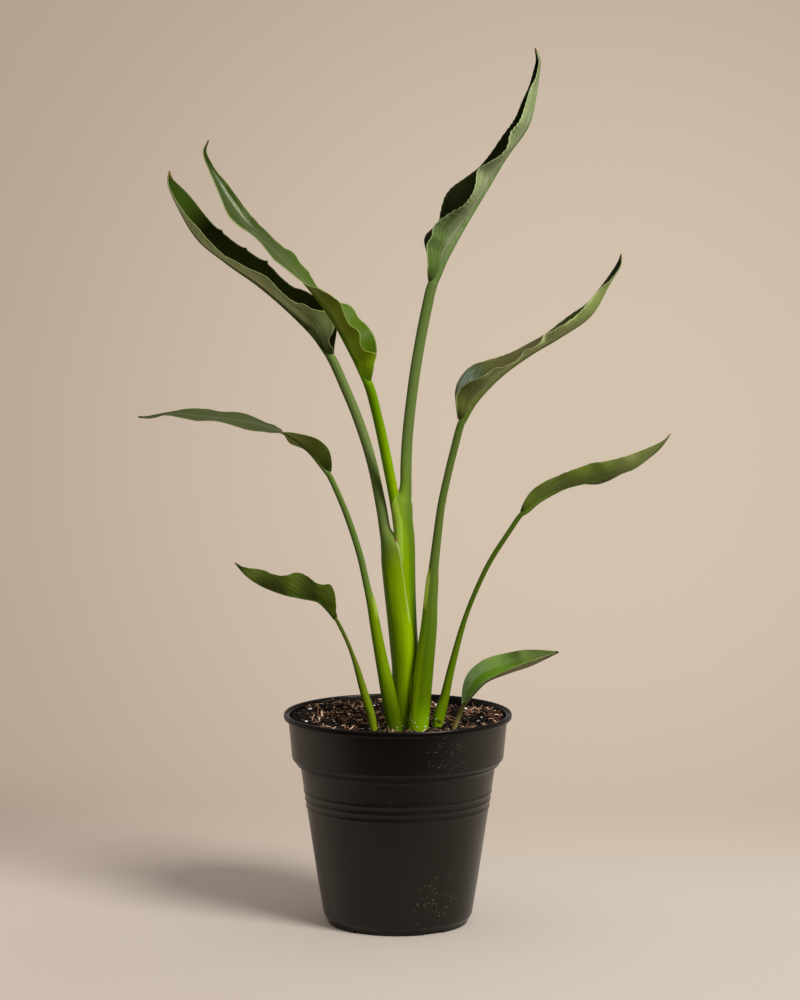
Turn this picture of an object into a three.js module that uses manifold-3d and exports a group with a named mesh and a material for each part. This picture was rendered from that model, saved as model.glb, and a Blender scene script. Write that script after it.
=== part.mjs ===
// Potted bird of paradise: eight folded leaves on clasping petioles, in a nursery pot of soil.
// Millimetres, +Z up. The origin is the middle of the pot's foot, and -Y faces the front.

import * as THREE from 'three';
import { mergeVertices } from 'three/addons/utils/BufferGeometryUtils.js';
import Module from 'manifold-3d';

const wasm = await Module();
wasm.setup();

// Pot
const potHeight = 158;
const rimRadius = 85;
const beadHeight = 4.4;
const beadRound = 1.4;
const collarTopRadius = 81.5;
const collarBottomRadius = 78.7;
const collarBottom = 124;
const shoulderBottom = 117.4;
const bodyBottomRadius = 55.6;
const bodyBottom = 4.4;
const bodyTaper = 0.1496;
const bodyRound = 1;
const wall = 1.3;
const floorThickness = 1.8;
const footOuterRadius = 52.4;
const footInnerRadius = 49;
const footHeight = 2.4;
const footLip = 0.4;
const padRadius = 15;
const padSlope = 1.5;
const ridgeHeights = [88, 93.7, 99.4];
const ridgeHalfHeight = 1.2;
const ridgeProud = 0.6;
const drainHoleCount = 6;
const drainHoleRadius = 4.5;
const drainHoleRing = 34;
const drainHoleSides = 8;
const drainHoleDepth = 12;
const notchCount = 6;
const notchWidth = 16;
const notchLength = 12;
const notchHeight = 1.6;
const potSegments = 40;

// Soil
const soilTop = 146;
const soilLump = 1.1;
const soilFall = 0.012;
const soilEdge = 0.8;
const soilRings = [66, 50, 34, 18];

// Gap kept between a piece and what it stands in, clasps or rests on
const gap = 0.3;

// Rhizome and roots
const rhizomeTop = 120;
const rhizomeBottom = 100;
const rhizomeCentre = { x: 11, y: 0 };
const rhizomeHalfLength = 29;
const rhizomeHalfDepth = 15;
// How far the knob is stretched up and down before it is cut flat at the crown.
const crownStretch = 1.7;
const knobLowest = -1.2;
const rootCount = 5;
const rootSides = 5;
const rootRadius = 3.2;
const firstRootTurn = 0.3;
const rootStartShare = 0.6;
// Each root's course as [distance out, drop, share of the full radius].
const rootCourse = [[4, 0, 1], [24, 6, 1], [38, 28, 0.85], [40, 56, 0.7], [34, 84, 0.45]];

// Blades: rows of vertices along the midrib, and columns from the midrib to each margin
const bladeThickness = 0.75;
const bladeRows = 26;
const halfColumns = 3;
const widestPoint = 0.4;
const baseFullness = 0.5;
const tipSharpness = 0.6;
// The rib's half width: a share of its depth at the base, and millimetres at the tip.
const ribShareAtBase = 0.75;
const ribHalfAtTip = 0.6;
const ribTaper = 1.2;
const ribLeast = 0.2;
// A half blade always reaches past its rib and its rise, and keeps a share of its width as depth.
const pastRib = 0.8;
const pastRise = 1.02;
const leastDepthShare = 0.05;
const bellyDepth = 0.25;

// Petioles
const petioleSides = 10;
const ringsPerSpan = 2;
const petioleEndShare = 0.95;

// The place that the leaves are measured from
const viewpoint = new THREE.Vector3(0, -2500, 593);

// The leaves, each as it hangs. Its midrib is a curve, and each half of its blade is given by how
// high the margin stands above the midrib, across the line of sight. Near is the half towards the
// viewpoint, and far is the half behind it. What is left of a half's width goes into depth.
// The side is 1 for a leaf that leans to the left, and -1 for one that leans to the right.
// A petiole's points hold x, y, z and the half width and half depth of its section there.
const leaves = [
  {
    name: 'tall_left',
    side: 1,
    halfWidth: 29,
    ribDepth: 2.6,
    belly: 0.55,
    midrib: [
      [-50, 30, 421], [-61, 34, 436], [-81.5, 38.5, 456], [-103.5, 42.5, 474], [-127, 46, 490],
      [-149.5, 49, 508], [-164.5, 52, 532], [-172, 55, 550], [-171, 57, 558.5],
    ],
    near: [
      [0, 2], [0.05, 6.5], [0.1, 16.7], [0.15, 16], [0.2, 11], [0.27, 6], [0.33, 6.3], [0.4, 8], [0.5, 5],
      [0.6, 3.8], [0.7, 5.5], [0.78, 3.7], [0.9, 0.8], [1, 0.4],
    ],
    far: [
      [0, 3], [0.05, 11.3], [0.1, 20.3], [0.15, 22], [0.22, 19.5], [0.31, 14.7], [0.37, 15.8], [0.46, 16.5],
      [0.52, 17.4], [0.58, 15.9], [0.65, 17.8], [0.75, 15.6], [0.85, 11.7], [0.95, 6.2], [1, 0.9],
    ],
    petiole: [
      [6, 6, 120.3, 7.5, 7.5], [5.5, 6, 147, 8.3, 8.5], [4.6, 5, 172, 8.8, 9.5], [4.2, 4, 192, 8.7, 9.7],
      [3.3, 3, 208, 9.3, 9.7], [0.9, 2, 228, 8.8, 9.6], [-2.1, 2, 249, 8.1, 9.3], [-4.2, 2, 269, 8, 8.6],
      [-5.8, 2, 284, 7, 7.6], [-9.3, 3, 294.5, 4.6, 5.2], [-11.7, 5, 309, 4.2, 4.2],
      [-19.5, 11, 345, 3.9, 4], [-29.2, 19, 374.5, 3.8, 3.9], [-38.4, 24.5, 396.5, 3.7, 3.8],
    ],
  },
  {
    name: 'twisted_left',
    side: 1,
    halfWidth: 27,
    ribDepth: 2.2,
    belly: 0.5,
    midrib: [
      [-21.5, -25, 405], [-31, -29, 424], [-47, -34.5, 453], [-67, -39, 479.5], [-90, -43, 503],
      [-114, -46.5, 526], [-131, -50.5, 553.5], [-139, -54, 573], [-135, -58, 582],
    ],
    near: [
      [0, 2], [0.04, 8.7], [0.1, 10.2], [0.18, 10.4], [0.25, 9.3], [0.3, 9.9], [0.35, 5.4], [0.4, -0.5],
      [0.48, -3.5], [0.55, -4], [0.61, -1.7], [0.66, -2.2], [0.72, -4.7], [0.8, -2.5], [0.9, -0.8],
      [1, 0],
    ],
    far: [
      [0, 2], [0.05, 8.8], [0.1, 17.6], [0.15, 19.3], [0.2, 17], [0.25, 16.2], [0.3, 10.1], [0.36, 5.1],
      [0.42, 5.8], [0.5, 8.5], [0.55, 6.6], [0.65, 8], [0.75, 8.2], [0.85, 5.2], [0.93, 2.5], [1, 0.3],
    ],
    petiole: [
      [10, 5, 120.3, 3.2, 3.2], [10.2, 5, 147, 3.3, 3.3], [9, 4, 174, 3.5, 3.5], [7.3, 3, 206, 3.7, 3.7],
      [4.8, 1.5, 249, 3.8, 3.8], [1.6, 0.5, 286, 3.8, 3.8], [-0.8, 0, 307, 3.9, 3.9],
      [-3, -1.5, 321, 4, 4], [-7.9, -6.5, 347, 4, 4], [-14.1, -14, 377, 3.8, 3.8],
    ],
  },
  {
    name: 'tallest_right',
    side: -1,
    halfWidth: 29,
    ribDepth: 3,
    belly: 0.55,
    midrib: [
      [25.5, 6, 476], [33.5, 7, 493.5], [47.5, 8, 518.5], [63, 9, 543.5], [78.5, 10, 568.5],
      [95.5, 11, 592.5], [100.5, 12, 611.5], [103.5, 12, 630.5], [104, 11, 640], [100.5, 10, 648.5],
    ],
    near: [
      [0, 2], [0.06, 6], [0.12, 14.5], [0.16, 16], [0.2, 17.4], [0.25, 13.7], [0.3, 8.7], [0.35, 6.3],
      [0.4, 7.4], [0.45, 11.5], [0.5, 8], [0.57, 3.3], [0.65, 7.6], [0.72, 6.9], [0.8, 5.5], [0.9, 0.8],
      [1, 0.3],
    ],
    far: [
      [0, 4.5], [0.05, 8], [0.1, 14.5], [0.15, 20.2], [0.2, 17.8], [0.25, 19.3], [0.32, 22.2],
      [0.4, 17.8], [0.46, 13.3], [0.52, 11], [0.65, 11.8], [0.75, 10.9], [0.85, 5.2], [0.95, 1.6],
      [1, 0.3],
    ],
    petiole: [
      [10, 5, 120.3, 5.5, 6], [10.5, 5, 147, 6, 6.8], [9.6, 4, 174, 6.6, 7.6], [8.2, 3, 206, 7, 8],
      [7.3, 2, 221, 7, 8], [5.9, 1, 249, 7.3, 7.9], [4.6, 0, 286, 7.9, 7.4], [3.4, 0, 301, 7.7, 7],
      [2.9, 0, 309, 8, 6.8], [3.2, 0, 316, 7.4, 6.3], [4.9, 0, 321.5, 5.4, 5.2], [5.7, 0, 329, 4.5, 4.6],
      [5.8, 0, 340, 4.4, 4.4], [6.7, 1, 361, 4.2, 4.2], [9.7, 2, 390.5, 4.1, 4.1], [14, 3, 421, 4.1, 4.1],
      [20.8, 5, 457, 4.1, 4.1],
    ],
  },
  {
    name: 'right',
    side: -1,
    halfWidth: 27,
    ribDepth: 2.4,
    belly: 0.55,
    midrib: [
      [47, -16, 376.5], [56, -18, 391.5], [74, -20.5, 410.5], [96, -22.5, 426.5], [118, -24.5, 439.5],
      [140, -27, 455], [153.5, -30, 478], [161.5, -34, 492], [161.5, -38, 500],
    ],
    near: [
      [0, 2], [0.05, 8], [0.1, 14], [0.15, 12], [0.22, 7.3], [0.3, 2.3], [0.35, 1], [0.4, 3.4],
      [0.46, 2.5], [0.52, 5.8], [0.6, 6], [0.7, 7.2], [0.8, 4.7], [0.88, 0.8], [1, 0.4],
    ],
    far: [
      [0, 3.7], [0.05, 10.2], [0.1, 17], [0.15, 19.4], [0.2, 18.8], [0.25, 14.6], [0.3, 10.5],
      [0.36, 7.9], [0.46, 6.7], [0.52, 7.3], [0.6, 9], [0.66, 9.5], [0.75, 7], [0.85, 3.8], [0.95, 3],
      [1, 0.3],
    ],
    petiole: [
      [14, -4, 120.3, 5, 5], [15.2, -6, 147, 7.4, 6.2], [18.2, -6, 180, 7.3, 6.6],
      [21, -7, 206, 6.7, 6.4], [23, -8, 224, 6, 6.2], [24.2, -8.5, 243, 5.2, 5.6],
      [25.4, -9, 258, 4.7, 5], [26.3, -9.5, 267, 3.8, 4.3], [29, -10.5, 291, 3.3, 3.4],
      [31.9, -11.5, 314, 3, 3.1], [36.2, -12.7, 335, 2.9, 2.9], [41, -14, 355, 2.9, 2.9],
    ],
  },
  {
    name: 'low_right',
    side: -1,
    halfWidth: 20,
    ribDepth: 1.8,
    belly: 0.45,
    midrib: [
      [92.5, 16, 305], [108, 18.5, 316.5], [125.5, 21, 324.5], [150.5, 24, 330], [175.5, 26, 338],
      [191.5, 28.5, 350], [204, 33, 363],
    ],
    near: [
      [0, 2.3], [0.05, 5.8], [0.12, 8.8], [0.2, 9.6], [0.3, 9.9], [0.4, 11.5], [0.48, 12.8], [0.55, 11.5],
      [0.65, 10.8], [0.75, 8.9], [0.85, 5], [0.95, 0.7], [1, 0.2],
    ],
    far: [
      [0, 0], [0.1, -1.7], [0.3, -1], [0.4, -1], [0.46, -3], [0.55, -2.6], [0.65, -0.5], [0.8, -0.8],
      [1, 0],
    ],
    petiole: [
      [26, 0, 120.3, 3.4, 3.6], [29.1, -1, 145, 3.8, 4.4], [31.3, -1, 157, 4.5, 4.6],
      [34.7, -1, 169, 3.5, 4.1], [38.7, -1, 187, 2.9, 3.5], [43.5, 0, 206, 2.4, 2.8],
      [47.1, 1.5, 219, 2.1, 2.3], [51, 3, 231, 1.8, 2], [58, 5, 248.5, 1.8, 1.9],
      [68.3, 9, 269.5, 1.9, 2], [82, 13, 290.5, 1.9, 2],
    ],
  },
  {
    name: 'drooping_left',
    side: 1,
    halfWidth: 21,
    ribDepth: 1.6,
    belly: 0.2,
    midrib: [
      [-51, -16, 338], [-65, -19.5, 355.5], [-77, -21.5, 365.5], [-91.5, -23, 372],
      [-113.5, -25.5, 377.5], [-144, -29, 381.5], [-167, -32, 383.5], [-182, -35, 381],
      [-188.5, -38, 381.5],
    ],
    near: [
      [0, 3.5], [0.05, 10.5], [0.1, 12.6], [0.15, 12], [0.2, 8.2], [0.25, 3.3], [0.3, -0.4], [0.37, -3.6],
      [0.47, -5.3], [0.55, -3.8], [0.65, -2.5], [0.72, -3.5], [0.82, -2], [0.92, -0.9], [1, 0],
    ],
    far: [
      [0, -0.5], [0.1, -0.8], [0.17, -2], [0.24, -4.6], [0.28, -2.4], [0.32, 1.7], [0.4, 3], [0.5, 5.9],
      [0.6, 5.1], [0.7, 5.6], [0.77, 4.2], [0.85, 1.3], [0.95, 1.2], [1, 0.7],
    ],
    petiole: [
      [0, -5, 120.3, 4.2, 4.2], [-2.1, -8, 145, 5.2, 5], [-3.7, -8.5, 156, 5.9, 5.4],
      [-6, -9, 168, 5.8, 5.6], [-8.4, -9.5, 181, 5.4, 5.4], [-11.9, -10, 198, 4.6, 4.8],
      [-16.1, -11, 221, 4, 4.2], [-19.3, -12, 240, 3.5, 3.6], [-22.2, -12.5, 252, 2.7, 2.8],
      [-28, -13.3, 278, 2.5, 2.6], [-37.5, -14.7, 307.5, 2.4, 2.5], [-45.3, -15.6, 326.5, 2.2, 2.4],
    ],
  },
  {
    name: 'low_left',
    side: 1,
    halfWidth: 19,
    ribDepth: 1.2,
    belly: 0.35,
    rows: 20,
    midrib: [
      [-46, -15, 230.5], [-51.5, -17, 237.5], [-58.5, -18.5, 244], [-70.5, -21, 247], [-84, -22.5, 250],
      [-100.5, -26.5, 257], [-111, -29.5, 264.5], [-119, -34, 274.5],
    ],
    near: [
      [0, 2], [0.1, 7.6], [0.2, 14.1], [0.25, 12.6], [0.3, 14.8], [0.37, 17.2], [0.45, 16.8],
      [0.55, 12.5], [0.65, 10.8], [0.75, 10.2], [0.85, 6.8], [0.95, 1.7], [1, 0.2],
    ],
    far: [[0, 2], [0.1, 5], [0.3, 9], [0.5, 9.5], [0.75, 6.5], [0.9, 3], [1, 0.2]],
    petiole: [
      [-12, -4, 120.3, 2.6, 2.6], [-17.6, -6, 146, 2.6, 2.6], [-19.9, -6.5, 157, 3.1, 3],
      [-25.3, -8, 175, 2.9, 2.9], [-30.2, -9.5, 192.5, 2.2, 2.4], [-33.3, -10.5, 202, 1.6, 1.7],
      [-38, -12.5, 214.5, 1.4, 1.5],
    ],
  },
  {
    name: 'small_right',
    side: -1,
    halfWidth: 17,
    ribDepth: 1,
    belly: 0.4,
    rows: 20,
    midrib: [
      [48.5, -10, 164.5], [56.5, -12, 174.5], [65.5, -14.5, 183.5], [81.5, -17.5, 190.5],
      [97.5, -22, 196.5], [108, -26, 202], [118, -32, 208],
    ],
    near: [[0, 0], [0.1, 0.7], [0.3, 0.5], [0.5, 1.8], [0.65, 3], [0.8, 2.6], [0.95, 0.9], [1, 0]],
    far: [
      [0, 1.5], [0.05, 4.8], [0.1, 7.9], [0.15, 10.6], [0.2, 12.4], [0.27, 14], [0.4, 15.3], [0.55, 14],
      [0.7, 12.5], [0.8, 9.5], [0.9, 5.2], [1, 0.7],
    ],
    petiole: [[34, -5, 120.3, 2.2, 2.2], [42, -8, 147, 2, 2], [45.4, -9, 156.6, 1.8, 1.8]],
  },
];

// The leaves in the order in which their bases are wrapped, from the innermost outwards.
const innermostFirst = [
  'twisted_left', 'tallest_right', 'tall_left', 'right',
  'drooping_left', 'low_right', 'low_left', 'small_right',
];

const front = new THREE.Vector3(0, -1, 0);

// A closed geometry from vertices and triangles.
function meshOf(points, triangles) {
  const geometry = new THREE.BufferGeometry();
  const positions = points.flatMap((point) => [point.x, point.y, point.z]);
  geometry.setAttribute('position', new THREE.Float32BufferAttribute(positions, 3));
  geometry.setIndex(triangles);
  geometry.computeVertexNormals();
  return geometry;
}

// A three.js geometry as a solid that can be joined and cut.
function toSolid(geometry) {
  const bare = geometry.clone();
  bare.deleteAttribute('normal');
  bare.deleteAttribute('uv');
  const merged = mergeVertices(bare, 1e-4);
  const index = merged.index.array;
  const triangles = [];
  for (let i = 0; i < index.length; i += 3) {
    const [a, b, c] = [index[i], index[i + 1], index[i + 2]];
    if (a !== b && b !== c && c !== a) triangles.push(a, b, c);
  }
  const mesh = new wasm.Mesh({
    numProp: 3,
    vertProperties: new Float32Array(merged.attributes.position.array),
    triVerts: new Uint32Array(triangles),
  });
  mesh.merge();
  return new wasm.Manifold(mesh);
}

// The largest body of a solid as a three.js geometry; a cut's loose scraps are dropped.
function toGeometry(solid) {
  const bodies = solid.decompose();
  bodies.sort((a, b) => b.volume() - a.volume());
  const mesh = bodies[0].getMesh();
  const geometry = new THREE.BufferGeometry();
  geometry.setAttribute('position', new THREE.Float32BufferAttribute(mesh.vertProperties, 3));
  geometry.setIndex(Array.from(mesh.triVerts));
  geometry.computeVertexNormals();
  return geometry;
}

function named(name, geometry, color, roughness) {
  const mesh = new THREE.Mesh(geometry, new THREE.MeshStandardMaterial({ color, roughness, metalness: 0 }));
  mesh.name = name;
  return mesh;
}

// A smooth value at t from keys of [t, value].
function along(keys, t) {
  let k = 0;
  while (k < keys.length - 2 && t > keys[k + 1][0]) k += 1;
  const slope = (i) => {
    const a = keys[Math.max(i - 1, 0)];
    const b = keys[Math.min(i + 1, keys.length - 1)];
    return (b[1] - a[1]) / (b[0] - a[0]);
  };
  const [t0, v0] = keys[k];
  const [t1, v1] = keys[k + 1];
  const span = t1 - t0;
  const u = THREE.MathUtils.clamp((t - t0) / span, 0, 1);
  const rise = (3 - 2 * u) * u * u;
  const easeOut = u * (1 - u) * (1 - u);
  const easeIn = u * u * (u - 1);
  return v0 + (v1 - v0) * rise + span * (slope(k) * easeOut + slope(k + 1) * easeIn);
}

function vector([x, y, z]) {
  return new THREE.Vector3(x, y, z);
}

function midribCurve(leaf) {
  return new THREE.CatmullRomCurve3(leaf.midrib.map(vector), false, 'centripetal');
}

// Directions at a point of a leaf: the way that it opens, and the way to the front.
function frameAt(direction, side, facing) {
  const across = new THREE.Vector3().crossVectors(direction, facing).normalize();
  const toFront = new THREE.Vector3().crossVectors(across, direction).normalize();
  return { open: across.clone().multiplyScalar(side), toFront };
}

// The way that a midrib runs at t, as it looks from the viewpoint.
function runAcrossSight(curve, t) {
  const facing = viewpoint.clone().sub(curve.getPointAt(t)).normalize();
  return curve.getTangentAt(t).projectOnPlane(facing).normalize();
}

// The real half width of a blade, from a rounded base to a drawn-out tip.
function halfWidthAt(leaf, t) {
  const bend = Math.log(0.5) / Math.log(widestPoint);
  const swell = Math.sin(Math.PI * Math.pow(Math.min(t, 0.999), bend));
  return leaf.halfWidth * Math.pow(swell, baseFullness + tipSharpness * t);
}

// A blade: two halves that curve up from the midrib, with a raised rib on the outside.
function bladeGeometry(leaf) {
  const rows = leaf.rows ?? bladeRows;
  const curve = midribCurve(leaf);
  const sheet = [];
  const tangents = [];
  for (let i = 0; i <= rows; i += 1) {
    const t = i / rows;
    const middle = curve.getPointAt(t);
    const facing = viewpoint.clone().sub(middle).normalize();
    tangents.push(runAcrossSight(curve, t));
    const { open, toFront } = frameAt(tangents[i], leaf.side, facing);
    const ribHalf = THREE.MathUtils.lerp(leaf.ribDepth * ribShareAtBase, ribHalfAtTip, Math.sqrt(t));
    const row = [];
    for (let j = -halfColumns; j <= halfColumns; j += 1) {
      const rise = along(j > 0 ? leaf.near : leaf.far, t);
      const width = Math.max(halfWidthAt(leaf, t), Math.abs(rise) * pastRise, ribHalf + pastRib);
      const leftOver = Math.max(width * width - rise * rise, leastDepthShare * width * width);
      const depth = Math.sqrt(leftOver) * Math.sign(j || 1);
      const corner = middle.clone().addScaledVector(toFront, depth);
      const margin = corner.clone().addScaledVector(open, rise);
      const chord = middle.clone().lerp(margin, 0.5);
      const bulge = corner.lerp(middle, 0.5).addScaledVector(toFront, depth * bellyDepth);
      const control = chord.lerp(bulge, leaf.belly);
      const first = Math.min(ribHalf / width, 0.5);
      const step = Math.abs(j);
      const s = step === 0 ? 0 : first + ((1 - first) * (step - 1)) / (halfColumns - 1);
      const bend = new THREE.QuadraticBezierCurve3(middle, control, margin);
      row.push(bend.getPoint(s));
    }
    sheet.push(row);
  }
  return thickened(sheet, tangents, leaf, rows);
}

// Both faces and the edge of a blade, from its middle sheet. Each row stays in its own plane.
function thickened(sheet, tangents, leaf, rows) {
  const columns = 2 * halfColumns;
  const inner = [];
  const outer = [];
  for (let i = 0; i <= rows; i += 1) {
    for (let j = 0; j <= columns; j += 1) {
      const down = sheet[Math.min(i + 1, rows)][j].clone().sub(sheet[Math.max(i - 1, 0)][j]);
      const over = sheet[i][Math.min(j + 1, columns)].clone().sub(sheet[i][Math.max(j - 1, 0)]);
      const normal = down.cross(over).normalize();
      const up = normal.projectOnPlane(tangents[i]).normalize().multiplyScalar(leaf.side);
      const onRib = j === halfColumns;
      const rib = onRib ? leaf.ribDepth * Math.pow(1 - i / rows, ribTaper) + ribLeast : 0;
      inner.push(sheet[i][j].clone().addScaledVector(up, bladeThickness / 2));
      outer.push(sheet[i][j].clone().addScaledVector(up, -bladeThickness / 2 - rib));
    }
  }
  const points = [...inner, ...outer];
  const shift = inner.length;
  const at = (i, j) => i * (columns + 1) + j;
  const triangles = [];
  const quad = (a, b, c, d) => triangles.push(a, b, c, a, c, d);
  for (let i = 0; i < rows; i += 1) {
    for (let j = 0; j < columns; j += 1) {
      const [a, b, c, d] = [at(i, j), at(i + 1, j), at(i + 1, j + 1), at(i, j + 1)];
      if (j < halfColumns) {
        quad(a, b, c, d);
        quad(a + shift, d + shift, c + shift, b + shift);
      } else {
        quad(b, c, d, a);
        quad(b + shift, a + shift, d + shift, c + shift);
      }
    }
    quad(at(i, 0), at(i, 0) + shift, at(i + 1, 0) + shift, at(i + 1, 0));
    const [p, q] = [at(i, columns), at(i + 1, columns)];
    quad(q, q + shift, p + shift, p);
  }
  for (let j = 0; j < columns; j += 1) {
    const [p, q] = [at(0, j), at(0, j + 1)];
    quad(q, q + shift, p + shift, p);
    const [r, s] = [at(rows, j), at(rows, j + 1)];
    quad(r, r + shift, s + shift, s);
  }
  if (leaf.side < 0) triangles.reverse();
  return meshOf(points, triangles);
}

// A closed tube through points of [x, y, z, half width, half depth], grown by a margin. Its
// start is cut level where it stands on something.
function sweptSolid(sections, { sides, grow = 0, facing = front, levelStart = false, endDirection }) {
  const path = new THREE.CatmullRomCurve3(sections.map(vector), false, 'centripetal');
  const halfSizes = sections.map((section) => new THREE.Vector3(section[3], section[4], 0));
  const sizes = new THREE.CatmullRomCurve3(halfSizes, false, 'catmullrom');
  const rings = (sections.length - 1) * ringsPerSpan;
  const points = [];
  for (let i = 0; i <= rings; i += 1) {
    const u = i / rings;
    const centre = path.getPoint(u);
    const size = sizes.getPoint(u);
    let direction = path.getTangent(u);
    if (i === 0 && levelStart) direction = new THREE.Vector3(0, 0, 1);
    if (i === rings && endDirection) direction = endDirection;
    const { open, toFront } = frameAt(direction, 1, facing);
    if (i === 0) centre.addScaledVector(direction, -grow);
    if (i === rings) centre.addScaledVector(direction, grow);
    for (let k = 0; k < sides; k += 1) {
      const angle = (2 * Math.PI * k) / sides;
      const point = centre.clone().addScaledVector(open, (size.x + grow) * Math.cos(angle));
      points.push(point.addScaledVector(toFront, (size.y + grow) * Math.sin(angle)));
    }
  }
  const triangles = [];
  for (let i = 0; i < rings; i += 1) {
    for (let k = 0; k < sides; k += 1) {
      const next = (k + 1) % sides;
      const [a, b, c, d] = [i * sides + k, i * sides + next, (i + 1) * sides + next, (i + 1) * sides + k];
      triangles.push(a, c, b, a, d, c);
    }
  }
  for (let k = 1; k < sides - 1; k += 1) {
    triangles.push(0, k, k + 1);
    const last = rings * sides;
    triangles.push(last, last + k + 1, last + k);
  }
  return toSolid(meshOf(points, triangles));
}

// A petiole's sections, ending a gap short of its blade.
function petioleSections(leaf) {
  const end = vector(leaf.midrib[0]).addScaledVector(runAcrossSight(midribCurve(leaf), 0), -gap);
  const last = leaf.petiole[leaf.petiole.length - 1];
  return [...leaf.petiole, [end.x, end.y, end.z, last[3] * petioleEndShare, last[4] * petioleEndShare]];
}

// Petioles with their sheaths. Each one is hollowed by the leaves that it wraps.
function petioles() {
  const result = [];
  const wrapped = [];
  for (const name of innermostFirst) {
    const leaf = leaves.find((each) => each.name === name);
    const sections = petioleSections(leaf);
    const endDirection = runAcrossSight(midribCurve(leaf), 0);
    const options = { sides: petioleSides, levelStart: true, endDirection };
    let solid = sweptSolid(sections, options);
    for (const inner of wrapped) solid = solid.subtract(inner);
    wrapped.push(sweptSolid(sections, { ...options, grow: gap }));
    result.push({ leaf, solid });
  }
  return { result, wrapped };
}

// A turned solid from points of [radius, height].
function turned(profile, segments) {
  const geometry = new THREE.LatheGeometry(profile.map(([r, z]) => new THREE.Vector2(r, z)), segments);
  return geometry.rotateX(Math.PI / 2);
}

function bodyRadius(z) {
  return bodyBottomRadius + bodyTaper * (z - bodyBottom);
}

// The pot's inner wall from the floor up to the rim, as points of [radius, height].
function innerWall(inset) {
  return [
    [bodyRadius(bodyBottom) - wall - inset, footHeight + floorThickness + inset],
    [bodyRadius(shoulderBottom) - wall - inset, shoulderBottom + 0.4 + inset],
    [collarBottomRadius - wall - 0.5 - inset, collarBottom - 0.5 + inset],
    [collarBottomRadius - wall - inset, collarBottom + 1],
  ];
}

function potGeometry() {
  const beadMiddle = potHeight - beadHeight / 2;
  const ridge = (z) => [
    [bodyRadius(z - ridgeHalfHeight), z - ridgeHalfHeight],
    [bodyRadius(z) + ridgeProud, z],
    [bodyRadius(z + ridgeHalfHeight), z + ridgeHalfHeight],
  ];
  const profile = [
    [0, 0],
    [padRadius, 0],
    [padRadius + padSlope, footHeight],
    [footInnerRadius - footLip, footHeight],
    [footInnerRadius, 0],
    [footOuterRadius, 0],
    [footOuterRadius + footLip, bodyBottom - 2 * footLip],
    [bodyBottomRadius - bodyRound, bodyBottom - footLip],
    [bodyBottomRadius, bodyBottom + bodyRound],
    ...ridgeHeights.flatMap(ridge),
    [bodyRadius(shoulderBottom), shoulderBottom],
    [collarBottomRadius - bodyRound, collarBottom - bodyRound],
    [collarBottomRadius, collarBottom + bodyRound],
    [collarTopRadius, potHeight - beadHeight],
    [rimRadius - beadRound, potHeight - beadHeight],
    [rimRadius, beadMiddle - beadRound / 2],
    [rimRadius, beadMiddle + beadRound / 2],
    [rimRadius - beadRound, potHeight],
    [collarTopRadius, potHeight],
    [collarTopRadius - wall, potHeight - beadRound],
    ...innerWall(0).reverse(),
    [padRadius + 2 * padSlope, footHeight + floorThickness],
    [padRadius + padSlope, floorThickness],
    [0, floorThickness],
  ];
  let pot = toSolid(turned(profile, potSegments));
  for (let i = 0; i < drainHoleCount; i += 1) {
    const angle = (2 * Math.PI * (i + 0.5)) / drainHoleCount;
    const hole = new THREE.CylinderGeometry(drainHoleRadius, drainHoleRadius, drainHoleDepth, drainHoleSides);
    hole.rotateX(Math.PI / 2);
    hole.translate(drainHoleRing * Math.cos(angle), drainHoleRing * Math.sin(angle), footHeight);
    pot = pot.subtract(toSolid(hole));
  }
  for (let i = 0; i < notchCount; i += 1) {
    const angle = (2 * Math.PI * i) / notchCount;
    const notch = new THREE.BoxGeometry(notchLength, notchWidth, 2 * notchHeight);
    notch.translate(footOuterRadius, 0, 0);
    pot = pot.subtract(toSolid(notch.rotateZ(angle)));
  }
  return toGeometry(pot);
}

// A knobbly rhizome with a flat crown, and roots that curve out and down from it.
function rhizomeSolid(grow) {
  const knob = new THREE.SphereGeometry(1, 12, 6);
  const middle = (rhizomeTop + rhizomeBottom) / 2;
  const half = (rhizomeTop - rhizomeBottom) / 2;
  const spots = knob.attributes.position;
  for (let i = 0; i < spots.count; i += 1) {
    const point = new THREE.Vector3().fromBufferAttribute(spots, i);
    const x = rhizomeCentre.x + point.x * (rhizomeHalfLength + grow);
    const y = rhizomeCentre.y + point.y * (rhizomeHalfDepth + grow);
    const z = middle + THREE.MathUtils.clamp(point.z * crownStretch, knobLowest, 1) * (half + grow);
    spots.setXYZ(i, x, y, z);
  }
  let solid = toSolid(knob);
  for (let i = 0; i < rootCount; i += 1) {
    const angle = (2 * Math.PI * (i + firstRootTurn)) / rootCount;
    const start = { x: rhizomeCentre.x * rootStartShare, y: rhizomeCentre.y };
    const root = rootCourse.map(([distance, drop, thickness]) => [
      start.x + distance * Math.cos(angle),
      start.y + distance * Math.sin(angle),
      middle - drop,
      rootRadius * thickness,
      rootRadius * thickness,
    ]);
    const facing = new THREE.Vector3(Math.sin(angle), -Math.cos(angle), 0);
    solid = solid.add(sweptSolid(root, { sides: rootSides, grow, facing }));
  }
  return solid;
}

// The soil's lumpy top, a little banked up at the left.
function soilHeight(x, y) {
  const lumps = Math.sin(0.13 * x + 1) * Math.cos(0.11 * y) + 0.6 * Math.sin(0.21 * y + 0.17 * x);
  return soilTop + soilLump * lumps - soilFall * x;
}

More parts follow.
